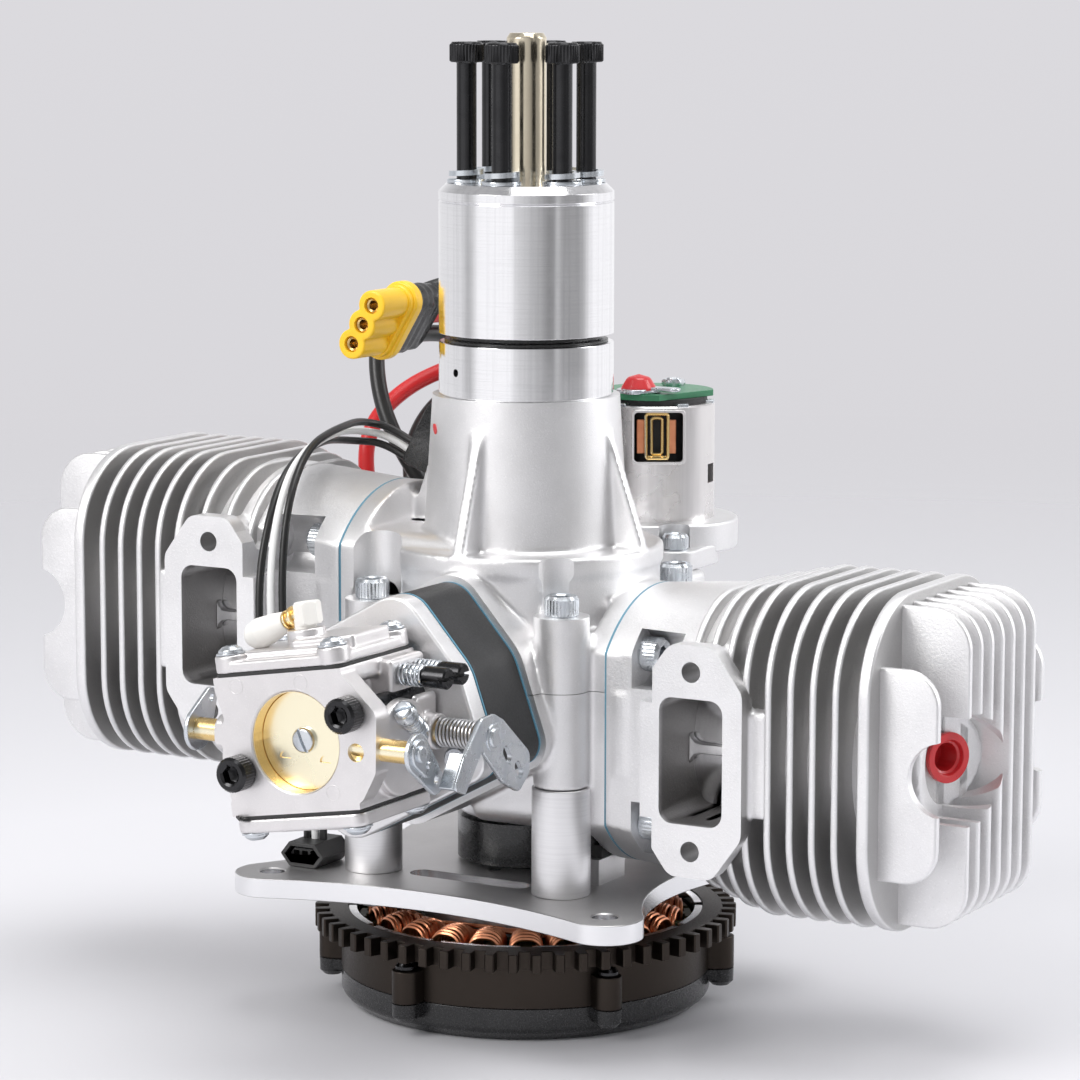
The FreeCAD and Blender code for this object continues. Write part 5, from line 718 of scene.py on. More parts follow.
FLANGE_X = CASE_X + 0.6
FIN_PITCH, FIN_HALF_Y, FIN_HALF_Z = 5.83, 38, 41
FIN_X = [81.4 + FIN_PITCH * k for k in range(5)]
PORT_X, PORT_Y, PORT_STUD_Z = 68.8, 41.5, 21.7
CHAMBER_X = 108.8
PLUG_TILT = math.radians(27.0)
PLUG_AT = toward((math.cos(PLUG_TILT), -math.sin(PLUG_TILT), 0), (CHAMBER_X, 0, 0))
PLUG_POCKET = 11.4
MOUTH_SCREWS = [(sy * 20.5, sz * 21.0) for sy in (1, -1) for sz in (1, -1)]


def port_outline(half_w, half_h, shoulder):
    """The exhaust flange: a rectangle with its corners cut at a slant."""
    tip = half_w * 0.42
    corners = ((-half_w, -shoulder), (-tip, -half_h), (tip, -half_h), (half_w, -shoulder),
               (half_w, shoulder), (tip, half_h), (-tip, half_h), (-half_w, shoulder))
    return rounded([(PORT_X + u, v) for u, v in corners], 4.0, 6)


def bore_cuts():
    tunnel = rounded(rect(8.45, 15.3, PORT_X, 0), 3.4, 6)
    cuts = [drum(23.5, 25, CHAMBER_X, ALONG_X), slab(tunnel, -50, -18, 0, ALONG_Y)]
    for y, z in MOUTH_SCREWS:
        near, far = math.copysign(17.5, y), math.copysign(60, y)
        scoop = rounded(((near, z - 7.5), (far, z - 7.5), (far, z + 6.5), (near, z + 6.5)), 5, 6)
        cuts += [drum(4.9, 45.6, 60, move(0, y, z) @ ALONG_X, segs=48), slab(scoop, 45.6, 58.5, 0, ALONG_X)]
    return cuts


def cylinder_core():
    """The mouth block, neck, barrel and exhaust port, run together and bored."""
    studs = [move(PORT_X, 0, s * PORT_STUD_Z) @ ALONG_Y for s in (1, -1)]
    neck = drum(35, FLANGE_X, 79, ALONG_X, segs=144, top_radius=38.5)
    parts = mouth_block(FLANGE_X - 1.2, FLANGE_X + 7, FLANGE_X - 1.2)
    parts += [brick(40.6, 44.4, -28.4, -27, -9, 12, 0.4),
              carve(neck, [brick(30, 90, -28, 28, -60, 60)], "INTERSECT"),
              drum(30, 73, 111, ALONG_X, segs=144), drum(21, 110, 119, ALONG_X),
              brick(PORT_X - 12.6, PORT_X + 12.6, -39.5, -10, -19.5, 19.5, 1.5),
              slab(port_outline(13.6, 28.2, 17.5), -PORT_Y - 1.2, -PORT_Y + 6, 0, ALONG_Y)]
    parts += [drum(5, -PORT_Y + 1, -24, stud, segs=48) for stud in studs]
    parts += [brick(80.4, 87.2, -38, -32, -13, 13, 1.0), drum(PLUG_POCKET, 4, 11, PLUG_AT, segs=64)]
    body = cast(parts, 0.62, 6)
    cuts = bore_cuts() + [brick(20, FLANGE_X, -80, 80, -80, 80), brick(45, 92, -60, -PORT_Y, -50, 50)]
    cuts += [drum(2.5, -PORT_Y - 4, -PORT_Y + 9, stud, segs=36) for stud in studs]
    cuts += [drum(5, -4, 12, PLUG_AT, segs=48), drum(PLUG_POCKET, 11, 40, PLUG_AT, segs=64)]
    body = carve(body, cuts)
    half = ((-8.5, -3.9), (-7.9, -2.4), (-6.9, -1.5), (-5.2, -1.2),
            (5.2, -1.2), (6.9, -1.5), (7.9, -2.4), (8.5, -3.9))
    bridge = [(PORT_X + u, v) for u, v in half] + [(PORT_X + u, -v) for u, v in half[::-1]]
    return joined([body, slab(bridge, -25.9, -23.6, 0.35, ALONG_Y)])


def fin_slab(x, half_y, half_z, corner, thick=1.9):
    outline = rounded(rect(half_y, half_z), corner, 14)
    return slab(outline, x - thick / 2, x + thick / 2, min(0.7, thick * 0.4), ALONG_X)


def fins():
    """The barrel's upright fins, the last one thick and the first three growing."""
    parts = [fin_slab(x, FIN_HALF_Y, FIN_HALF_Z, 24) for x in FIN_X]
    parts.append(fin_slab(112, FIN_HALF_Y, FIN_HALF_Z, 24, 3.2))
    parts += [fin_slab(FIN_X[0] - FIN_PITCH * k, FIN_HALF_Y - 2.1 * k, FIN_HALF_Z - 1.2 * k, 22) for k in (1, 2, 3)]
    return carve(joined(parts), bore_cuts())


def head_fins():
    """The head's fins lie across, between two shields, and leave a pocket for the plug."""
    outline = rounded(((111, -38.5), (131, -38.5), (131, 38.5), (111, 38.5)), (1, 16, 16, 1), 12)
    parts = [slab(outline, k * 6.4 - 1, k * 6.4 + 1, 0.6, ALONG_Y) for k in range(-3, 4)]
    outline = rounded(((111, -25.5), (128.4, -25.5), (128.4, 25.5), (111, 25.5)), (1, 12, 12, 1), 12)
    for y in (31, -31):
        shield = slab(outline, y - 1.2, y + 1.2, 0.7, ALONG_Y)
        parts.append(carve(shield, [drum(9, y - 10, y + 10, move(129.9) @ ALONG_Y, segs=72)]))
    cuts = [drum(PLUG_POCKET, 11, 60, PLUG_AT, segs=72), drum(5, -4, 12, PLUG_AT),
            brick(113.7, 140, -24, -9.4, -13, 13)]
    return carve(joined(parts), cuts)


def plug_cap():
    profile = ((5, 4), (5, 11), (6.2, 11), (6.2, 12.4), (4.4, 12.4), (4.1, 11.2), (3.4, 11.0), (3.4, 5))
    return spun(rounded(profile, 0.25, 3, False), PLUG_AT, 72)


def cylinder_set():
    model, cap = joined([cylinder_core(), fins(), head_fins()]), plug_cap()
    for name, place in (("right", move(0, 0, RIGHT_Z)), ("left", move(0, 0, LEFT_Z) @ MIRROR)):
        nodes = ["plug_caps"] if name == "right" else []
        dress(copied(model, place), name + "_cylinder", "cast_cylinder", name + "_cylinder", keep_normals=True)
        dress(copied(cap, place), name + "_cap", "red_plastic", *nodes)
    for thing in (model, cap):
        bpy.data.objects.remove(thing)


paint_port_and_fin_shade(LOOKS["cast_cylinder"])
crankcase()
cylinder_set()


# Hub, sleeve and propeller bolts

HUB_TOP = 177.5
BOLT_ANGLES = [math.radians(5.8 + 60 * k) for k in range(6)]
BOLT_POINTS = [(15 * math.sin(a), -15 * math.cos(a)) for a in BOLT_ANGLES]


def nose_turnings():
    hub = ((19, 140), (22, 140), (22, 172.8), (21.65, 173.0), (21.65, 173.2), (22, 173.4), (22, 175.5),
           (20, HUB_TOP), (9, HUB_TOP))
    hub = spun(rounded(hub, 0.14, 3, False), segs=192)
    holes = [drum(2.75, 150, 180, move(*p), segs=32) for p in BOLT_POINTS] + [drum(5.05, 150, 180, segs=48)]
    dress(carve(hub, holes), "hub", "turned_aluminium", "prop_hub", body="crank")
    sleeve = washer(22, 15, NOSE_TOP, SLEEVE_TOP, edge=0.3, segs=192)
    turn = math.radians(-23)
    bored = drum(1.0, 10, 30, toward((math.sin(turn), -math.cos(turn), 0), (0, 0, 131)), segs=32)
    dress(carve(sleeve, [bored]), "sleeve", "turned_aluminium", "front_sleeve")
    seal = ((10, SLEEVE_TOP), (20.6, SLEEVE_TOP), (20.6, 138.6), (19.2, 138.9), (19.2, 139.7), (10, 139.7))
    dress(spun(rounded(seal, 0.2, 3, False), segs=128), "seal", "rubber_seal", "shaft_seals")
    pin = ((4.4, 158), (5, 158.4), (5, 213.4), (4.2, 214.6), (1.6, 214.6), (1.2, 213.9))
    dress(spun(rounded(pin, 0.3, 4, False), segs=96), "pin", "pin_nickel", "centre_pin", body="crank")


def prop_bolts():
    bolt = socket_head(*M5, 50.0, 0.22)
    places = [move(x, y, 207.4) @ spin(17 * k) for k, (x, y) in enumerate(BOLT_POINTS)]
    dress(copies(bolt, places), "bolts", "black_screw", "prop_bolts", body="crank")
    flat = [washer(4.9, 2.75, HUB_TOP, 178.5, move(x, y), 0.15) for x, y in BOLT_POINTS]
    section = ((3.0, 178.5), (4.5, 178.5), (4.5, 179.8), (3.0, 179.8))
    split = [bent_bar(section, math.radians(40 + 70 * k), math.radians(390 + 70 * k), 60, x, y, 1.3)
             for k, (x, y) in enumerate(BOLT_POINTS)]
    dress(joined(flat + split), "washers", "zinc_screw", "bolt_washers", body="crank")


nose_turnings()
prop_bolts()


# Mounting plate, tubes and the screws of the case

LOBE = (47.9, 45.1)


def plate_outline():
    """Four round lobes joined by hollow sides, each arc tangent to the next."""
    def arc(x, y, radius, first, last, steps):
        return [polar(radius, math.radians(first + (last - first) * k / steps), x, y) for k in range(steps)]

    lobe_x, lobe_y = LOBE
    quarter = arc(114.1, 0, 70.7, 180, 145.7, 14) + arc(lobe_x, lobe_y, 9.4, -34.3, 111.5, 24)
    quarter += arc(0, 166.6, 121.2, -68.5, -90, 14) + [(0.0, 45.4)]
    half = quarter + [(-x, y) for x, y in quarter[-2::-1]]
    return half + [(x, -y) for x, y in half[-2:0:-1]]


def hole(radius, bevel, x=0.0, y=0.0):
    """A cutter for a bored hole in the plate with a broken edge."""
    profile = ((radius, -1.0), (radius, PLATE_T - bevel), (radius + 2 * bevel, PLATE_T + bevel))
    return spun(profile, move(x, y), 48)


def slot_cut(half_u, half_v, v):
    return slab(rounded(rect(half_u, half_v, 0, v), half_v * 0.96, 6), -1, PLATE_T + 1, 0)


def mounting_plate():
    cuts = [hole(13, 0.4), slot_cut(17, 3.3, -28.0), slot_cut(17, 3.75, 29.6), hole(1.5, 0.25, 0, -15.6)]
    cuts += [hole(3.2, 0.35, sx * LOBE[0], sy * LOBE[1]) for sx in (1, -1) for sy in (1, -1)]
    plate = carve(slab(plate_outline(), 0, PLATE_T, 0.32), cuts)
    dress(plate, "plate", "plate_blasted", "mounting_plate", sharp=24)
    tubes = [drum(7.3, PLATE_T, 32, move(x, y), 0.35) for x, y in PILLARS]
    dress(joined(tubes), "tubes", "tube_satin", "pillar_tubes")


def nut(across, height, bore, place):
    six, low = hex_side(across), across * 0.5
    return spun(((bore, 0.2), (bore + 0.2, 0), (low, 0), (six, 0.5), (six, height - 0.5), (low, height),
                 (bore + 0.2, height), (bore, height - 0.2)), place, 72, True)


def case_screws():
    bolt = socket_head(*M5, 78.0, 0.1)
    bolts = copies(bolt, [move(x, y, 74.4) @ spin(25 * k) for k, (x, y) in enumerate(PILLARS)])
    nuts = [nut(8, 4, 2.4, move(x, y, -4)) for x, y in PILLARS]
    dress(joined([bolts] + nuts), "pillar_bolts", "zinc_screw", "pillar_bolts")
    screw = socket_head(*M5, 10.0, 0.1)
    places = [toward((side, 0, 0), (side * 45.6, y, axis_z + z)) @ spin(40 * y)
              for side, axis_z in ((1, RIGHT_Z), (-1, LEFT_Z)) for y, z in MOUTH_SCREWS]
    dress(copies(screw, places), "mouth_screws", "zinc_screw", "cylinder_screws")
    screw = socket_head(*M4, 20.0, 0.1)
    places = [toward((0, -1, 0), (BORE_X + s * 25.5, -66.8, BORE_Z - s * 7.0)) for s in (1, -1)]
    places += [move(STARTER_X + s * EAR_X, EAR_Y, 80.6) for s in (1, -1)]
    dress(copies(screw, places), "small_screws", "zinc_screw", "small_screws")


def intake_stack():
    for name, look, node, depths, edge in (("insulator", "insulator", "insulator_block", (-60, -40.5), 0.5),
                                           ("adaptor", "cast_case", "intake_adaptor", (-66.8, -60.5), 0.7)):
        bore = drum(12, -70, -30, AT_BORE @ ALONG_Y)
        dress(carve(slab(intake_outline(), *depths, edge, ALONG_Y), [bore]), name, look, node)


# Generator

SEAM, RING_TOP, ROTOR_R = -22.4, -7.0, 47.3
TEETH, MAGNETS, COILS = 58, 12, 24
CORE_LOW, CORE_HIGH = -21.5, -9.5
WIRE_R = 0.58
BOSS_ANGLES = [math.radians(-6.3 + 60 * k) for k in range(6)]
BOSSES = [(50.2 * math.sin(a), -50.2 * math.cos(a)) for a in BOSS_ANGLES]


def tooth(angle):
    """A tooth of the trigger ring, with a broken tip."""
    root, tip, half_root, half_tip = 50.0, 54.0, 1.42, 1.18
    outline = ((root, -half_root), (tip - 0.35, -half_tip), (tip, -half_tip + 0.3), (tip, half_tip - 0.3),
               (tip - 0.35, half_tip), (root, half_root))
    return slab(outline, -11.6, RING_TOP, 0.22, spin(angle), 2)


def rotor():
    """The toothed ring, its cap with vents and bosses, and the magnets inside."""
    low, high = SEAM - 0.06, SEAM + 0.06
    turns = [spin(math.degrees(math.atan2(y, x))) for x, y in BOSSES]
    parts = [washer(50.5, 45.4, -11.6, RING_TOP, edge=0.3, segs=232),
             washer(ROTOR_R, 45.4, high, -10, edge=0.2, segs=192)]
    parts += [tooth(85.5 + 360 / TEETH * k) for k in range(TEETH)]
    for (x, y), turn in zip(BOSSES, turns):
        parts += [drum(3.4, high, -14, move(x, y), 0.35, 48),
                  brick(45.6, 50.2, -3.4, 3.4, high, -14.05, 0.2, turn)]
    dress(joined(parts), "ring", "phosphate", "rotor_ring", body="crank")

    cup = ((8.6, -31), (44, -31), (ROTOR_R, -28.2), (ROTOR_R, low), (44.2, low), (44.2, -27.5),
           (14.4, -27.5), (14, -12), (8.6, -12))
    cup = spun(rounded(cup, [0.4, 2.2, 2.2, 0.15, 0.2, 1.0, 1.0, 0.5, 0.3], 5), segs=192, closed=True)
    vents = [drum(5, -33, -26, move(29.7 * math.sin(a), -29.7 * math.cos(a)), segs=48) for a in BOSS_ANGLES]
    parts = [carve(cup, vents)]
    for (x, y), turn in zip(BOSSES, turns):
        parts += [spun(((0.4, -26.9), (2.2, -26.9), (3.3, -25.8), (3.4, low)), move(x, y), 48),
                  brick(45.6, 50.0, -3.3, 3.3, -25.4, SEAM - 0.1, 0.3, turn)]
    dress(joined(parts), "cap", "black_paint", "rotor_cap", body="crank")

    screws = copies(socket_head(1.5, 2.5, 1.8, 1.1, 8.0, segs=36), [move(x, y, -14.0) for x, y in BOSSES])
    dress(screws, "rotor_screws", "black_screw", "rotor_screws", body="crank")
    section = rounded(((43.28, -20.9), (45.38, -20.9), (45.38, -7.25), (43.28, -7.25)), 0.25, 2)
    pitch = 360 // MAGNETS
    magnets = [bent_bar(section, math.radians(pitch * k + 2), math.radians(pitch * (k + 1) - 2), 12)
               for k in range(MAGNETS)]
    dress(joined(magnets), "magnets", "magnet", "rotor_magnets", body="crank")


def stator():
    """A toothed core whose coils are wound turn by turn, each turn a little higher or lower."""
    low, high = CORE_LOW, CORE_HIGH
    turns = [spin(360 / COILS * k) for k in range(COILS)]
    tip = rounded(((40.8, low), (42.6, low), (42.6, high), (40.8, high)), 0.3, 2)
    parts = [washer(30, 23.1, low, high, edge=0.3, segs=144)]
    for turn in turns:
        parts += [brick(29.5, 41.5, -1.5, 1.5, low, high, 0.2, turn),
                  placed(bent_bar(tip, math.radians(-5.7), math.radians(5.7), 8), turn)]
    dress(joined(parts), "core", "lamination", "stator_core")

    loops = []
    for j in range(8):
        share = j / 7
        x, half = 31.4 + 8.5 * share, 3.0 + 0.95 * share
        rise = 2.3 + 1.7 * math.sin(math.pi * (0.12 + 0.76 * share))
        lean = 0.35 * math.sin(j * 2.3)
        outline = rounded(((-half, low - rise), (half, low - rise), (half, high + rise), (-half, high + rise)),
                          half * 0.8, 5)
        loops.append(tube([(x + lean * (v - low) / 20 - 0.15, u, v) for u, v in outline], WIRE_R, 7, True))
    parts = [copies(joined(loops), turns)]
    for k in range(5):
        points = []
        for i in range(41):
            a = math.radians(-160 + 25 * k + 110 * i / 40)
            r = 30.6 - 0.9 * k + 0.7 * math.sin(i * 0.7 + k)
            points.append((*polar(r, a), high + 1.9 + 0.35 * (k % 3) + 0.5 * math.sin(i * 0.45 + 2 * k)))
        parts.append(tube(points, WIRE_R, 7))
    dress(joined(parts), "coils", "copper", "stator_coils")


# Starter motor

def starter():
    """A motor in its bracket beside the case, with its winding seen through a window."""
    x, y = STARTER_X, STARTER_Y
    place = move(x, y)
    aside = place @ spin(-60)
    ear = rounded(((x - 20.8, EAR_Y - 6), (x + 20.8, EAR_Y - 6), (x + 20.8, y), (x - 20.8, y)), 5.8, 8)
    pockets = [drum(4.3, 80.6, 92, move(x + s * EAR_X, EAR_Y), segs=48) for s in (1, -1)]
    parts = [carve(drum(21.7, 78.5, 86.5, place, 0.8, 144), pockets), slab(ear, 75.6, 80.6, 0.5),
             drum(11.5, -4, 79, place, 0.6)]
    dress(joined(parts), "bracket", "cast_case", "starter_bracket")

    can = ((15.4, 86.5), (15.4, 116.6), (15.0, 117.0), (13.6, 117.0), (13.2, 116.6), (13.2, 88.7), (0.5, 88.7),
           (0.5, 86.5))
    can = placed(spun(can, segs=144, closed=True), place)
    can = carve(can, [brick(8, 20, -6.5, 6.5, 102, 116.2, 0.0, aside),
                      brick(8, 20, -2.2, 2.2, 96, 101, 0.0, place @ spin(8))])
    hollow = slab(rounded(rect(6.4, 6.5, 0, 109.1), 1.0, 5), 10, 20, 0, ALONG_X)
    rim = carve(slab(rounded(rect(7.1, 7.2, 0, 109.1), 1.2, 5), 14.3, 15.75, 0.25, ALONG_X), [hollow])
    dress(joined([can, placed(rim, aside)]), "can", "starter_steel", "starter_can")

    dress(placed(drum(11.0, 88.7, 116.8, segs=72), place), "brush_block", "gasket_black")
    loops = []
    for shift, low, high, half in ((15.2, 103.5, 115.2, 2.9), (14.2, 104.5, 114, 1.4)):
        outline = rounded(rect(half, (high - low) / 2, -0.4, (low + high) / 2), 0.7, 4)
        loops.append(tube([(shift, u, v) for u, v in outline], 0.42, 8, True))
    loops.append(brick(13.0, 15.0, -3.2, 2.6, 103.0, 104.1, 0.2))
    dress(joined([placed(loop, aside) for loop in loops]), "brush", "brass")
    magnets = [placed(brick(12.4, 13.4, s - 1.1, s + 1.1, 104.5, 113.5, 0.3), aside) for s in (-4.6, 3.6)]
    dress(joined(magnets), "armature", "copper")

    outline = [polar(15.0, TAU * i / 96) for i in range(96)]
    board = slab([(min(u, 11.2), v) for u, v in outline], 118.5, 120.1, 0.12, place @ spin(-18))
    dress(board, "board", "board_green", "starter_end")
    dress(drum(13.4, 116.6, 118.5, place, 0.0, 96), "end_pad", "gasket_black")
    dome_x, dome_y, post_y = x - 0.3, y - 9.5, y + 9.5
    dome = rounded(((4.7, 120.9), (4.6, 121.5), (3.0, 124.1), (0.2, 124.9)), [0, 0.5, 1.8, 0], 6, False)
    dress(spun(dome, move(dome_x, dome_y), 64), "dome", "red_plastic")
    lug = rounded(rect(4.6, 2.0, dome_x + 7.2, dome_y + 0.6), 1.9, 5)
    parts = [drum(1.8, 118.5, 122.3, move(x, post_y), 0.25, 36), nut(5.5, 1.8, 1.8, move(x, post_y, 120.1)),
             washer(5.9, 2.2, 120.1, 121.0, move(dome_x, dome_y), 0.3),
             drum(3.2, 120.1, 121.3, move(dome_x + 0.6, dome_y - 3.4), 0.3, 36), slab(lug, 120.8, 121.7, 0.25)]
    parts += [brick(12.6, 15.3, -1.6, 1.6, 116.6, 117.6, 0.2, place @ spin(a)) for a in (-35, 20, 75, 130, 200, 260)]
    dress(joined(parts), "terminals", "zinc_screw")


mounting_plate()
case_screws()
intake_stack()
rotor()
stator()
starter()


# Carburettor: its covers are rolled about the bore, its shafts lie along X

CARB_BACK, CARB_FRONT = 67.3, 100.8
COVER_SEAT = 16.6
CHOKE_Y, THROTTLE_Y = 97.2, 72.0
ROLL = spin(-9.2, "Y", (BORE_X, 0, BORE_Z))
CARB_FLANGE = ((-23.4, 12.4), (-19.9, 4.0), (-20.4, -7.0), (-17.4, -17.6), (18.4, -12.4), (22.2, -5.0),
               (22.4, 9.0), (12.0, 18.3))
COVER_POINTS = [(BORE_X + u, -y) for u in (-16.9, 11.9) for y in (CARB_FRONT - 3.6, CARB_BACK + 4.6)]
CARB_SCREWS = ((BORE_X + 15.07, BORE_Z + 8.49), (BORE_X - 15.07, BORE_Z - 8.49))


def carb_block(u0, u1, v0, v1, y0, y1, corner=1.5):
    """A block of the rolled body, between two depths."""
    outline = rounded(rect((u1 - u0) / 2, (v1 - v0) / 2, BORE_X + (u0 + u1) / 2, BORE_Z + (v0 + v1) / 2), corner, 5)
    return slab(outline, -y1, -y0, 0, ROLL @ ALONG_Y)


def carb_plate(v0, v1, edge=0.5, inset_by=0.0, corner=3.0):
    """A layer of the rolled body, between two heights."""
    near, far = -CARB_FRONT + inset_by, -CARB_BACK - 1 - inset_by
    left, right = BORE_X - 20.5 + inset_by, BORE_X + 15.5 - inset_by
    outline = rounded(((left, near), (right, near), (right, far), (left, far)), corner, 6)
    return slab(outline, BORE_Z + v0, BORE_Z + v1, edge, ROLL)


def on_x(radius, x0, x1, y, z, edge=0.0, segs=24):
    return drum(radius, x0, x1, move(0, y, z) @ ALONG_X, edge, segs)


def cross_shaft(radius, x0, x1, y, edge=0.0, segs=48):
    return on_x(radius, x0, x1, -y, BORE_Z, edge, segs)


def carburettor_body():
    flange = [(BORE_X + u, BORE_Z + v) for u, v in CARB_FLANGE]
    parts = [slab(rounded(flange, [3, 3, 3, 4, 3, 3, 4, 3], 6), -CARB_FRONT - 1, -94.6, 0, ALONG_Y),
             carb_block(-17.5, 12.0, -16.4, 16.4, CARB_BACK - 1, 96, 3)]
    parts += [carb_block(-20.5, 15.5, v0, v1, CARB_BACK + 1, CARB_FRONT + 1)
              for v0, v1 in ((12.1, 17.8), (-17.8, -12.1))]
    parts += [cross_shaft(4.4, BORE_X - 22.6, 13.4, CHOKE_Y), cross_shaft(4.4, BORE_X - 22.6, 17.8, THROTTLE_Y),
              brick(9, 14.5, -77.5, -67.3, BORE_Z - 3, BORE_Z + 9, 1.2),
              brick(3, 12, -84.2, -69.0, 61.5, 70.4, 1.0), brick(6, 21, -92, -86, 48.6, 52, 0.8),
              on_x(11.5, 6, 15.5, -84, BORE_Z - 2, segs=96),
              drum(2.6, 12.6, 17.5, ROLL @ move(BORE_X - 16.9, -CARB_FRONT + 3.6, BORE_Z), segs=32)]
    body = cast(parts, 0.34, 4)
    bore = AT_BORE @ ALONG_Y
    jet_at = move(12.6, 0, 51.4) @ ALONG_Y
    cuts = [drum(12.1, -103, -86.8, bore), drum(10, -87, -79, bore), drum(10.9, -80, -60, bore),
            brick(-60, 60, -110, -CARB_FRONT, 0, 100), brick(-60, 60, -CARB_BACK, -50, 0, 100),
            brick(-60, 60, -120, -50, BORE_Z + 16.6, BORE_Z + 40, 0, ROLL),
            brick(-60, 60, -120, -50, BORE_Z - 40, BORE_Z - 16.6, 0, ROLL),
            spun(((12.0, -100.4), (12.9, -101.2)), bore, 96), drum(2.2, -103, -98.4, jet_at, segs=36)]
    body = carve(body, cuts)
    marks = [washer(1.95, 1.7, -CARB_FRONT - 0.06, -CARB_FRONT + 0.3, move(x, 0, z) @ ALONG_Y, 0.05, 40)
             for x, z in ((-20.6, 63.8), (-2.6, 66.4), (6.3, 41.2))]
    dress(joined([body] + marks), "carb_body", "cast_carburettor", "carburettor_body", keep_normals=True)
    jet = spun(((2.2, -98.6), (2.2, -99.6), (1.1, -99.2), (0.9, -98.7)), jet_at, 36)
    # The jet is a real part; the thin brass sleeve along the throat's wall is a painted reflection of the brass choke
    # disc.
    dress(joined([jet, washer(12.09, 11.9, -100.2, -87.2, bore, 0.05, 96)]), "jet", "brass")


def cross_head(place):
    """A pan head with a crossed recess and a washer."""
    head = spun(rounded(((2.9, 0.45), (2.9, 1.1), (1.7, 2.0), (0.05, 2.05)), [0, 0.5, 0.8, 0], 4, False), place, 40)
    arms = [brick(-1.5, 1.5, -0.32, 0.32, 1.3, 3, 0, place @ spin(a)) for a in (35, 125)]
    carve(head, arms)
    return joined([head, washer(3.5, 1.2, 0, 0.5, place, 0.12, 40), drum(1.3, -6.5, 0.6, place, segs=24)])


def covers():
    low, drop = BORE_Z - COVER_SEAT, -COVER_SEAT
    base, top = COVER_SEAT + 0.8, COVER_SEAT + 5.2
    dress(joined([carb_plate(COVER_SEAT, base, 0.15), carb_plate(-base, drop, 0.15)]), "carb_gaskets",
          "gasket_black", "carburettor_gaskets")
    parts = [carb_plate(base, base + 2.6, 0.35), carb_plate(base, top - 0.2, 0.7, 4.2, 4.0)]
    parts += [drum(3.9, BORE_Z + base, BORE_Z + top - 0.2, ROLL @ move(x, y), 0.5, 48) for x, y in COVER_POINTS]
    block = ((-1.5, -95), (7.6, -95), (9.6, -92.6), (14.6, -92.2), (14.6, -76), (9.6, -75.6), (7.6, -73), (-1.5, -73))
    block = rounded([(BORE_X + u, v) for u, v in block], 1.0, 3)
    parts += [slab(block, BORE_Z + base, BORE_Z + top + 1.5, 0.5, ROLL),
              drum(4.6, BORE_Z + top - 1, BORE_Z + top + 3.6, ROLL @ move(BORE_X - 1, -88), 0.4, 64),
              carb_plate(drop - 4.2, drop - 0.8, 0.6),
              drum(4.5, low - 6.5, low - 4, ROLL @ move(BORE_X - 1, -84), 0.5, 48),
              slab(rounded(rect(13, 11, BORE_X - 2.5, -84), 5, 6), low - 5.2, low - 4, 0.5, ROLL)]
    dress(cast(parts, 0.3, 3), "carb_covers", "cast_carburettor", "carburettor_covers", keep_normals=True)
    heads = []
    for x, y in COVER_POINTS:
        heads += [cross_head(ROLL @ move(x, y, BORE_Z + top - 0.15)),
                  cross_head(ROLL @ move(x, y, low - 4.2) @ spin(180, "X"))]
    dress(joined(heads), "cover_screws", "zinc_screw", "cover_screws")
    flake = slab(((-23.5, -101.2), (-21.0, -103.4), (-22.2, -101.4), (-20.4, -102.6), (-19.5, -99.5)),
                 low - 0.75, low - 0.15, 0.1, ROLL @ spin(14, "Y", (-21, 0, low)))
    dress(flake, "gasket_tab", "gasket_black")


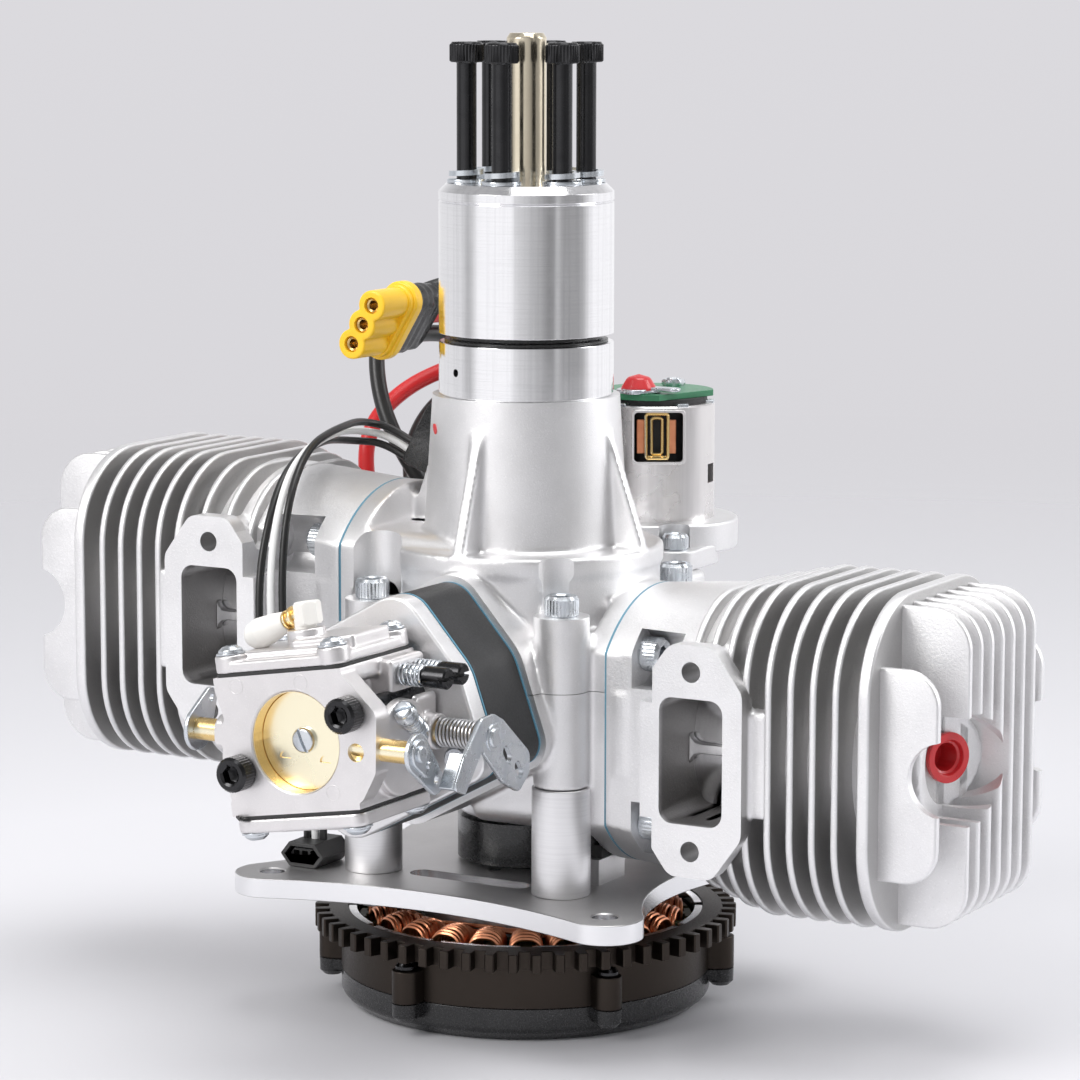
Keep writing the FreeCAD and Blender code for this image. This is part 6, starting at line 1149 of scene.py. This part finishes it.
def carb_fittings():
    screw = socket_head(*M5, 30.0, 0.12)
    places = [toward((0, -1, 0), (x, -CARB_FRONT, z)) @ spin(20) for x, z in CARB_SCREWS]
    dress(copies(screw, places), "carb_screws", "black_screw", "carburettor_screws")

    x, y, seat = BORE_X - 1, -88, BORE_Z + COVER_SEAT + 9.2
    stem = [nut(5.8, 5.4, 0.5, ROLL @ move(x + 1.2, y, seat + 0.4) @ spin(12)),
            drum(2.6, seat - 3, seat + 2, ROLL @ move(x, y), 0.4, 40)]
    dress(joined(stem), "elbow", "white_plastic", "fuel_inlet")
    barb = ROLL @ spin(-17, "Y", (x, y, seat + 3.2)) @ move(0, y, seat + 3.2) @ ALONG_X
    collar = [drum(1.8, x - 6.5, x - 1.5, barb, 0.2, 36), washer(2.7, 1.5, x - 3.4, x - 2.5, barb, 0.2, 36),
              washer(2.4, 1.5, x - 5.2, x - 4.5, barb, 0.2, 36)]
    dress(joined(collar), "barb", "brass")
    profile = ((0.3, x - 17.6), (1.9, x - 17.3), (3.2, x - 15.8), (3.7, x - 13.2), (3.1, x - 8.6), (2.4, x - 5.6),
               (1.9, x - 5.4), (1.7, x - 7))
    dress(spun(rounded(profile, 0.9, 4, False), barb, 64), "fuel_cap", "white_plastic")

    springs, heads = [], []
    for my, z in ((79.5, 66.5), (72.5, 66.5)):
        at = move(0, -my, z) @ ALONG_X
        springs += [helix(2.35, 1.12, 5.6, move(12, -my, z) @ ALONG_X, 0.36), drum(1.5, 8, 18.2, at, 0, 32)]
        head = spun(((1.5, 18.0), (2.1, 18.05), (2.1, 19.0), (2.6, 19.1), (2.6, 24.6), (2.2, 25), (0.1, 25)), at, 48)
        heads.append(carve(head, [brick(23.4, 26, -my - 3, -my + 3, z - 0.45, z + 0.45)]))
    dress(joined(heads), "mix_heads", "black_screw")
    lean = toward((0.08, -0.82, 0.56), (17.2, -86.4, 58.6))
    head = rounded(((1.4, -0.9), (2.6, -0.9), (2.9, -0.2), (2.4, 2.3), (0.1, 2.5)), [0, 0.3, 0.6, 1.0, 0], 4, False)
    head = carve(spun(head, lean, 48), [brick(-3.2, 3.2, -0.42, 0.42, 1.3, 4, 0, lean @ spin(30))])
    screw = [drum(1.3, -13, 0.5, lean, 0.2, 32), helix(2.0, 1.0, 8.4, lean @ move(0, 0, -9.4), 0.36), head,
             washer(2.3, 1.3, -1.6, -1.0, lean, 0.15, 40)]
    dress(joined(springs + screw), "adjusters", "zinc_screw", "adjusting_screws")


def disc_and_shaft(radius, y, shaft, x0, x1):
    disc = drum(radius, -y + 0.8, -y + 1.8, AT_BORE @ ALONG_Y, 0.12, 128)
    bar = cross_shaft(shaft, x0, x1, y, 0.15, 64)
    return disc, carve(bar, [brick(BORE_X - radius, BORE_X + radius, -y - 9, -y + 1.8, 40, 64)])


def choke():
    disc, bar = disc_and_shaft(11.85, CHOKE_Y, 2.7, -33.4, 26.3)
    notches = []
    for s in (-1, 1):
        at = move(BORE_X + s * 5.6, 0, BORE_Z - 4.7) @ ALONG_Y
        round_cut = drum(1.5, -CHOKE_Y - 3, -CHOKE_Y + 1.2, at, segs=32)
        notches.append(carve(round_cut, [brick(-60, 60, -110, -90, 40, BORE_Z - 4.9)]))
    dress(joined([carve(disc, notches), bar]), "choke", "brass", "choke_valve", body="choke")
    head = rounded(((3.1, -96.4), (3.1, -97.1), (2.7, -97.8), (0.1, -98.1)), [0, 0.35, 0.7, 0], 4, False)
    slot = brick(BORE_X - 0.4, BORE_X + 0.4, -102, -97.3, BORE_Z - 3.2, BORE_Z + 3.2, 0,
                 spin(-25, "Y", (BORE_X, 0, BORE_Z)))
    y, z = -CHOKE_Y, BORE_Z
    lever = slab(link(((y, z, 5.3), (y + 5.0, z + 6.6, 2.5))), -34.6, -33.4, 0.3, ALONG_X)
    cam = slab(link(((y, z, 4.8), (y + 8.0, z - 8.0, 3.1))), 26.3, 27.5, 0.3, ALONG_X)
    pieces = [carve(spun(head, AT_BORE @ ALONG_Y, 48), [slot]),
              carve(lever, [on_x(0.9, -36, -32, y + 5.0, z + 6.6)]),
              carve(cam, [on_x(1.1, 24, 29, y + 7.6, z - 7.6)]),
              slab(link(((y, z, 3.5), (y + 3.6, z - 3.6, 2.6))), 27.2, 28.1, 0.35, ALONG_X),
              cross_shaft(2.0, 27.6, 28.8, CHOKE_Y, 0.4), on_x(0.9, 27.8, 28.5, y + 3.4, z - 3.2, 0.2),
              cross_shaft(2.2, -35.3, -34.4, CHOKE_Y, 0.3)]
    dress(joined(pieces), "choke_levers", "zinc_screw", "choke_levers", body="choke")


def link(ends, steps=20):
    """The outline round discs at (y, z, radius) joined by their common tangents."""
    (y0, z0, r0), (y1, z1, r1) = ends
    along = Vector((y1 - y0, z1 - z0))
    heading = math.atan2(along.y, along.x)
    lean = math.acos((r0 - r1) / along.length)
    spans = ((y1, z1, r1, heading - lean, heading + lean), (y0, z0, r0, heading + lean, heading - lean + TAU))
    return [polar(r, first + (last - first) * k / steps, y, z)
            for y, z, r, first, last in spans for k in range(steps + 1)]


def throttle():
    disc, bar = disc_and_shaft(10.65, THROTTLE_Y, 2.6, -27.5, 31.5)
    dress(joined([disc, bar]), "throttle", "brass", "throttle_valve", body="throttle")
    corners = ((-77.4, 57.4), (-71.6, 57.6), (-67.4, 55.6), (-54.8, 45.6), (-54.9, 40.6), (-60.0, 36.6),
               (-67.4, 40.2), (-77.2, 49.6), (-84.9, 40.6), (-90.0, 42.6), (-85.4, 49.6))
    plate = rounded(corners, [2.2, 3.0, 4.0, 3.2, 2.6, 2.4, 2.0, 0.8, 0.8, 1.2, 6.0], 7)
    slots = [slab(link(((u - 0.7, v + 1.0, 1.3), (u + 0.7, v - 1.0, 1.29))), 30, 34, 0, ALONG_X)
             for u, v in ((-65.7, 46.8), (-60.2, 42.2))]
    pieces = [carve(slab(plate, 31.5, 32.7, 0.3, ALONG_X), slots), cross_shaft(2.4, 32.3, 33.5, THROTTLE_Y, 0.5),
              cross_shaft(3.4, 32.5, 33.0, THROTTLE_Y, 0.15),
              brick(28.4, 32.3, -0.6, 0.6, -4.6, 4.6, 0.3, move(0, -87.2, 46.4) @ spin(-34, "X"))]
    dress(joined(pieces), "throttle_lever", "zinc_screw", "throttle_lever", body="throttle")
    spring = helix(3.2, 1.02, 12.4, move(18.3, -THROTTLE_Y, BORE_Z) @ ALONG_X, 0.4)
    dress(spring, "throttle_spring", "ground_steel", "throttle_spring")


carburettor_body()
covers()
carb_fittings()
choke()
throttle()


# Sensor plug, lead guard and the paint mark on the nose

SENSOR_PLUG_X = -43.0
GUARD_TOP, GUARD_FOOT = (-45.5, 117.0), (-54.5, 100.5)


def trim():
    x, z = SENSOR_PLUG_X, PLATE_T
    six = rounded(((x - 6.5, z + 3.2), (x - 3.9, z + 0.1), (x + 3.9, z + 0.1), (x + 6.5, z + 3.2),
                   (x + 3.9, z + 6.4), (x - 3.9, z + 6.4)), 0.4, 3)
    shell = carve(slab(six, -39, -26, 0.3, ALONG_Y), [slab(inset(six, 1.0), -41, -30, 0, ALONG_Y)])
    cells = [brick(x + d - 0.9, x + d + 0.9, -40, -33, z + 2.3, z + 4.1) for d in (-2.5, 0, 2.5)]
    block = carve(slab(inset(six, 1.7), -37.5, -29, 0.2, ALONG_Y), cells)
    dress(joined([shell, block]), "sensor_plug", "sensor_black", "sensor_plug")

    corners = ((-12.0, 87.4), (-12.0, 116.0), GUARD_TOP, GUARD_FOOT, (-44.0, 97.0), (-32.0, 94.0),
               (-32.0, 81.0), (-23.0, 81.0), (-23.0, 87.4))
    plate = rounded(corners, [0.8, 1.5, 2.5, 1.5, 2.0, 1.0, 1.5, 1.5, 0.8], 5)
    dress(slab(plate, CASE_Y + 0.05, CASE_Y + 2.5, 0.3, ALONG_Y), "guard", "black_paint", "lead_guard")
    head = socket_head(1.5, 2.7, 1.6, 1.0, 3.0, segs=36)
    dress(copies(head, [toward((0, 1, 0), (-27.5, CASE_Y + 2.5, 85.5))]), "guard_screw", "zinc_screw")

    way = Vector((-0.653, -0.757, 0)).normalized()
    dot = drum(1.0, 23.4, 24.34, toward(way, (0, 0, 116.4)) @ Matrix.Diagonal((0.9, 1.5, 1, 1)), 0.0, 32)
    dress(dot, "paint_mark", "red_plastic")


trim()


# Leads: each is one smooth curve through the route's own points

PLUG_X, PLUG_Y, PLUG_Z = -44.0, -8.0, 140.3
POLE_PITCH, LEAN = 5.9, math.radians(31.0)
HOUSING_L, BOOT_L = 17.0, 13.0
WINDOW = 29.6


def pole(k, y=PLUG_Y):
    """The axis of one of the three poles, at a depth."""
    return PLUG_X + k * POLE_PITCH * math.sin(LEAN), y, PLUG_Z + k * POLE_PITCH * math.cos(LEAN)


def on_pole(k):
    return move(pole(k)[0], 0, pole(k)[2]) @ ALONG_Y


def pole_start(k):
    boot_end = PLUG_Y + HOUSING_L + BOOT_L
    return [pole(k, boot_end), pole(k, boot_end + 15.0)]


FIRST_LEAD = pole_start(1) + [
    (-30.3, 49.3, 146), (-27.6, 64.5, 147), (-36.5, 77.2, 147), (-51.8, 79.9, 147), (-64.5, 71, 145),
    (-69.8, 56.4, 141.5), (-72.5, 44.5, 132), (-68.5, 39, 117), (-60.5, 36.5, 103), (-50, 38.5, 88.5),
    (-41.5, 42.5, 71.5), (-36, 45, 53.5), (-30, 44, 36), (-21.5, 39.5, 20), (-12.5, 30.5, 8),
    (-11.5, WINDOW, -5.0)]
SECOND_LEAD = pole_start(0) + [
    (-31, 48.8, 137), (-28.1, 64.1, 133), (-37, 76.8, 129.5), (-52.3, 79.5, 126), (-65, 70.6, 121.5),
    (-72.5, 58, 116), (-76, 45.5, 106.5), (-75.5, 43.5, 91), (-67, 44, 78), (-57, 47, 64),
    (-46, 50, 50.5), (-34, 50.5, 37), (-23.5, 47, 28.5), (-13.5, 41, 21.5), (-4.5, 30.5, 9),
    (-3.5, WINDOW, -5.0)]
THIRD_LEAD = pole_start(-1) + [
    (-34.5, 47.5, 129.5), (-31.5, 62, 126.5), (-38, 75.5, 123.5), (-53, 79, 119.5), (-66, 68.5, 114.0),
    (-66.5, 53.5, 104), (-63, 46, 91), (-56.5, 47, 77), (-48.5, 50, 64.5), (-39.5, 53, 52.5),
    (-27, 53, 42), (-14.5, 48.5, 32.5), (-4.5, 40.5, 22), (3.5, 30.5, 9), (4.5, WINDOW, -5.0)]


def guard_edge(k):
    """Start of wire k on the guard's slanted edge, and the end of its straight start."""
    foot, top = (Vector((x, 0, z)) for x, z in (GUARD_FOOT, GUARD_TOP))
    up = (top - foot).normalized()
    start = foot + up * (2.4 * (k + 0.6)) + Vector((0, CASE_Y + 1.25, 0))
    return [tuple(start), tuple(start + Vector((-up.z, 0, up.x)) * 7.0)]


def plug_top(k):
    x = SENSOR_PLUG_X + 2.4 * (k - 1)
    return [(x, -32.5, 20.5), (x, -32.5, 11.4)]


FIRST_WIRE = guard_edge(2) + [
    (-62.0, 24, 111), (-61, 16.2, 112), (-57, 5, 112.5), (-54, -8, 112), (-51, -20.5, 110.5),
    (-48.5, -31, 105.5), (-46.5, -39, 96.5), (-45.5, -43, 84), (-44, -45.5, 70), (-42, -46.5, 56),
    (-41, -46, 43), (-40.7, -40, 30)] + plug_top(2)
SECOND_WIRE = guard_edge(1) + [
    (-64, 24, 108.6), (-63.6, 15.5, 109.6), (-60, 4.5, 110.3), (-56.8, -8, 109.9), (-53.5, -20.5, 108.4),
    (-51, -31.5, 103.8), (-49, -40, 94.5), (-48, -44.5, 83), (-46.5, -47, 70), (-44.6, -48.5, 56),
    (-43.6, -48, 43), (-43.2, -40.5, 30)] + plug_top(1)
THIRD_WIRE = guard_edge(0) + [
    (-66, 24, 105.8), (-66.3, 15, 107), (-63, 4, 108.2), (-59.6, -8, 107.9), (-56, -20.5, 106.5),
    (-53.5, -31.5, 102), (-51.6, -40, 93), (-50.6, -45.5, 81.5), (-49, -48.5, 69), (-47.2, -50, 56),
    (-46.3, -49.5, 43), (-45.8, -41, 30)] + plug_top(0)


def lead(node, route, radius, slot, length):
    name = "look_" + node
    curve = bpy.data.curves.new(name, "CURVE")
    curve.dimensions = "3D"
    curve.bevel_depth = radius * MM
    curve.bevel_resolution = 5
    curve.use_fill_caps = True
    line = curve.splines.new("NURBS")
    line.points.add(len(route) - 1)
    for point, place in zip(line.points, route):
        point.co = (*(c * MM for c in place), 1)
    line.order_u = 3
    line.use_endpoint_u = True
    line.resolution_u = 10
    thing = bpy.data.objects.new(name, curve)
    SCENE.collection.objects.link(thing)
    dress(thing, node, slot, node)
    [c * MM for c in route[0]]


def pole_outline(radius, steps=16):
    """The leaning outline round three poles, in x and z."""
    out = []
    for k, turn in ((1, 0), (-1, 180)):
        x, _, z = pole(k)
        for i in range(steps + 1):
            a = math.radians(turn + 180 * i / steps) - LEAN
            out.append((x + radius * math.cos(a), z + radius * math.sin(a)))
    return out


def connector():
    y0, y1, poles = PLUG_Y, PLUG_Y + HOUSING_L, (-1, 0, 1)
    parts = [drum(3.9, y0, y1 - 1, on_pole(k), 0.5, 48) for k in poles]
    parts.append(slab(pole_outline(2.7), y0 + 0.15, y1 - 1, 0.4, ALONG_Y))
    body = carve(cast(parts, 0.28, 3), [drum(2.1, y0 - 1, y1 - 2, on_pole(k), segs=48) for k in poles])
    parts = [body, slab(pole_outline(5.3), y1 - 3.6, y1, 0.7, ALONG_Y),
             slab(pole_outline(4.5), y1 - 5.2, y1 - 3, 0.5, ALONG_Y)]
    housing = dress(joined(parts), "connector", "yellow_plastic", "connector_housing")
    profile = ((2.0, y1 - 2), (2.0, y0 + 1.0), (1.7, y0 + 0.8), (1.25, y0 + 1.1), (1.25, y0 + 9))
    sockets = joined([spun(profile, on_pole(k), 36) for k in poles])
    sockets = dress(sockets, "sockets", "brass", "connector_sockets")
    rings = []
    for j in range(15):
        share = j / 14
        ring = pole_outline(4.3 - 0.9 * share ** 2 + 0.22 * math.sin(j * 1.9) * (0.3 + share))
        lump = [0.16 * math.sin(i * 0.9 + j) * share for i in range(len(ring))]
        rings.append([(u + d, v - d, y1 - 0.4 + (BOOT_L + 0.3) * share) for (u, v), d in zip(ring, lump)])
    return [housing, sockets, dress(loft(rings, ALONG_Y), "boot", "boot_black", "connector_boot")]


PLUG = connector()
for node, route, slot, length in (("first_lead", FIRST_LEAD, "lead_black", 0.276),
                                  ("second_lead", SECOND_LEAD, "lead_red", 0.267),
                                  ("third_lead", THIRD_LEAD, "lead_black", 0.251)):
    lead(node, route[::-1], 2.2, slot, length)
for node, route, slot, length in (("first_wire", FIRST_WIRE, "lead_black", 0.172),
                                  ("second_wire", SECOND_WIRE, "wire_white", 0.173),
                                  ("third_wire", THIRD_WIRE, "lead_black", 0.173)):
    lead(node, route, 1.0, slot, length)
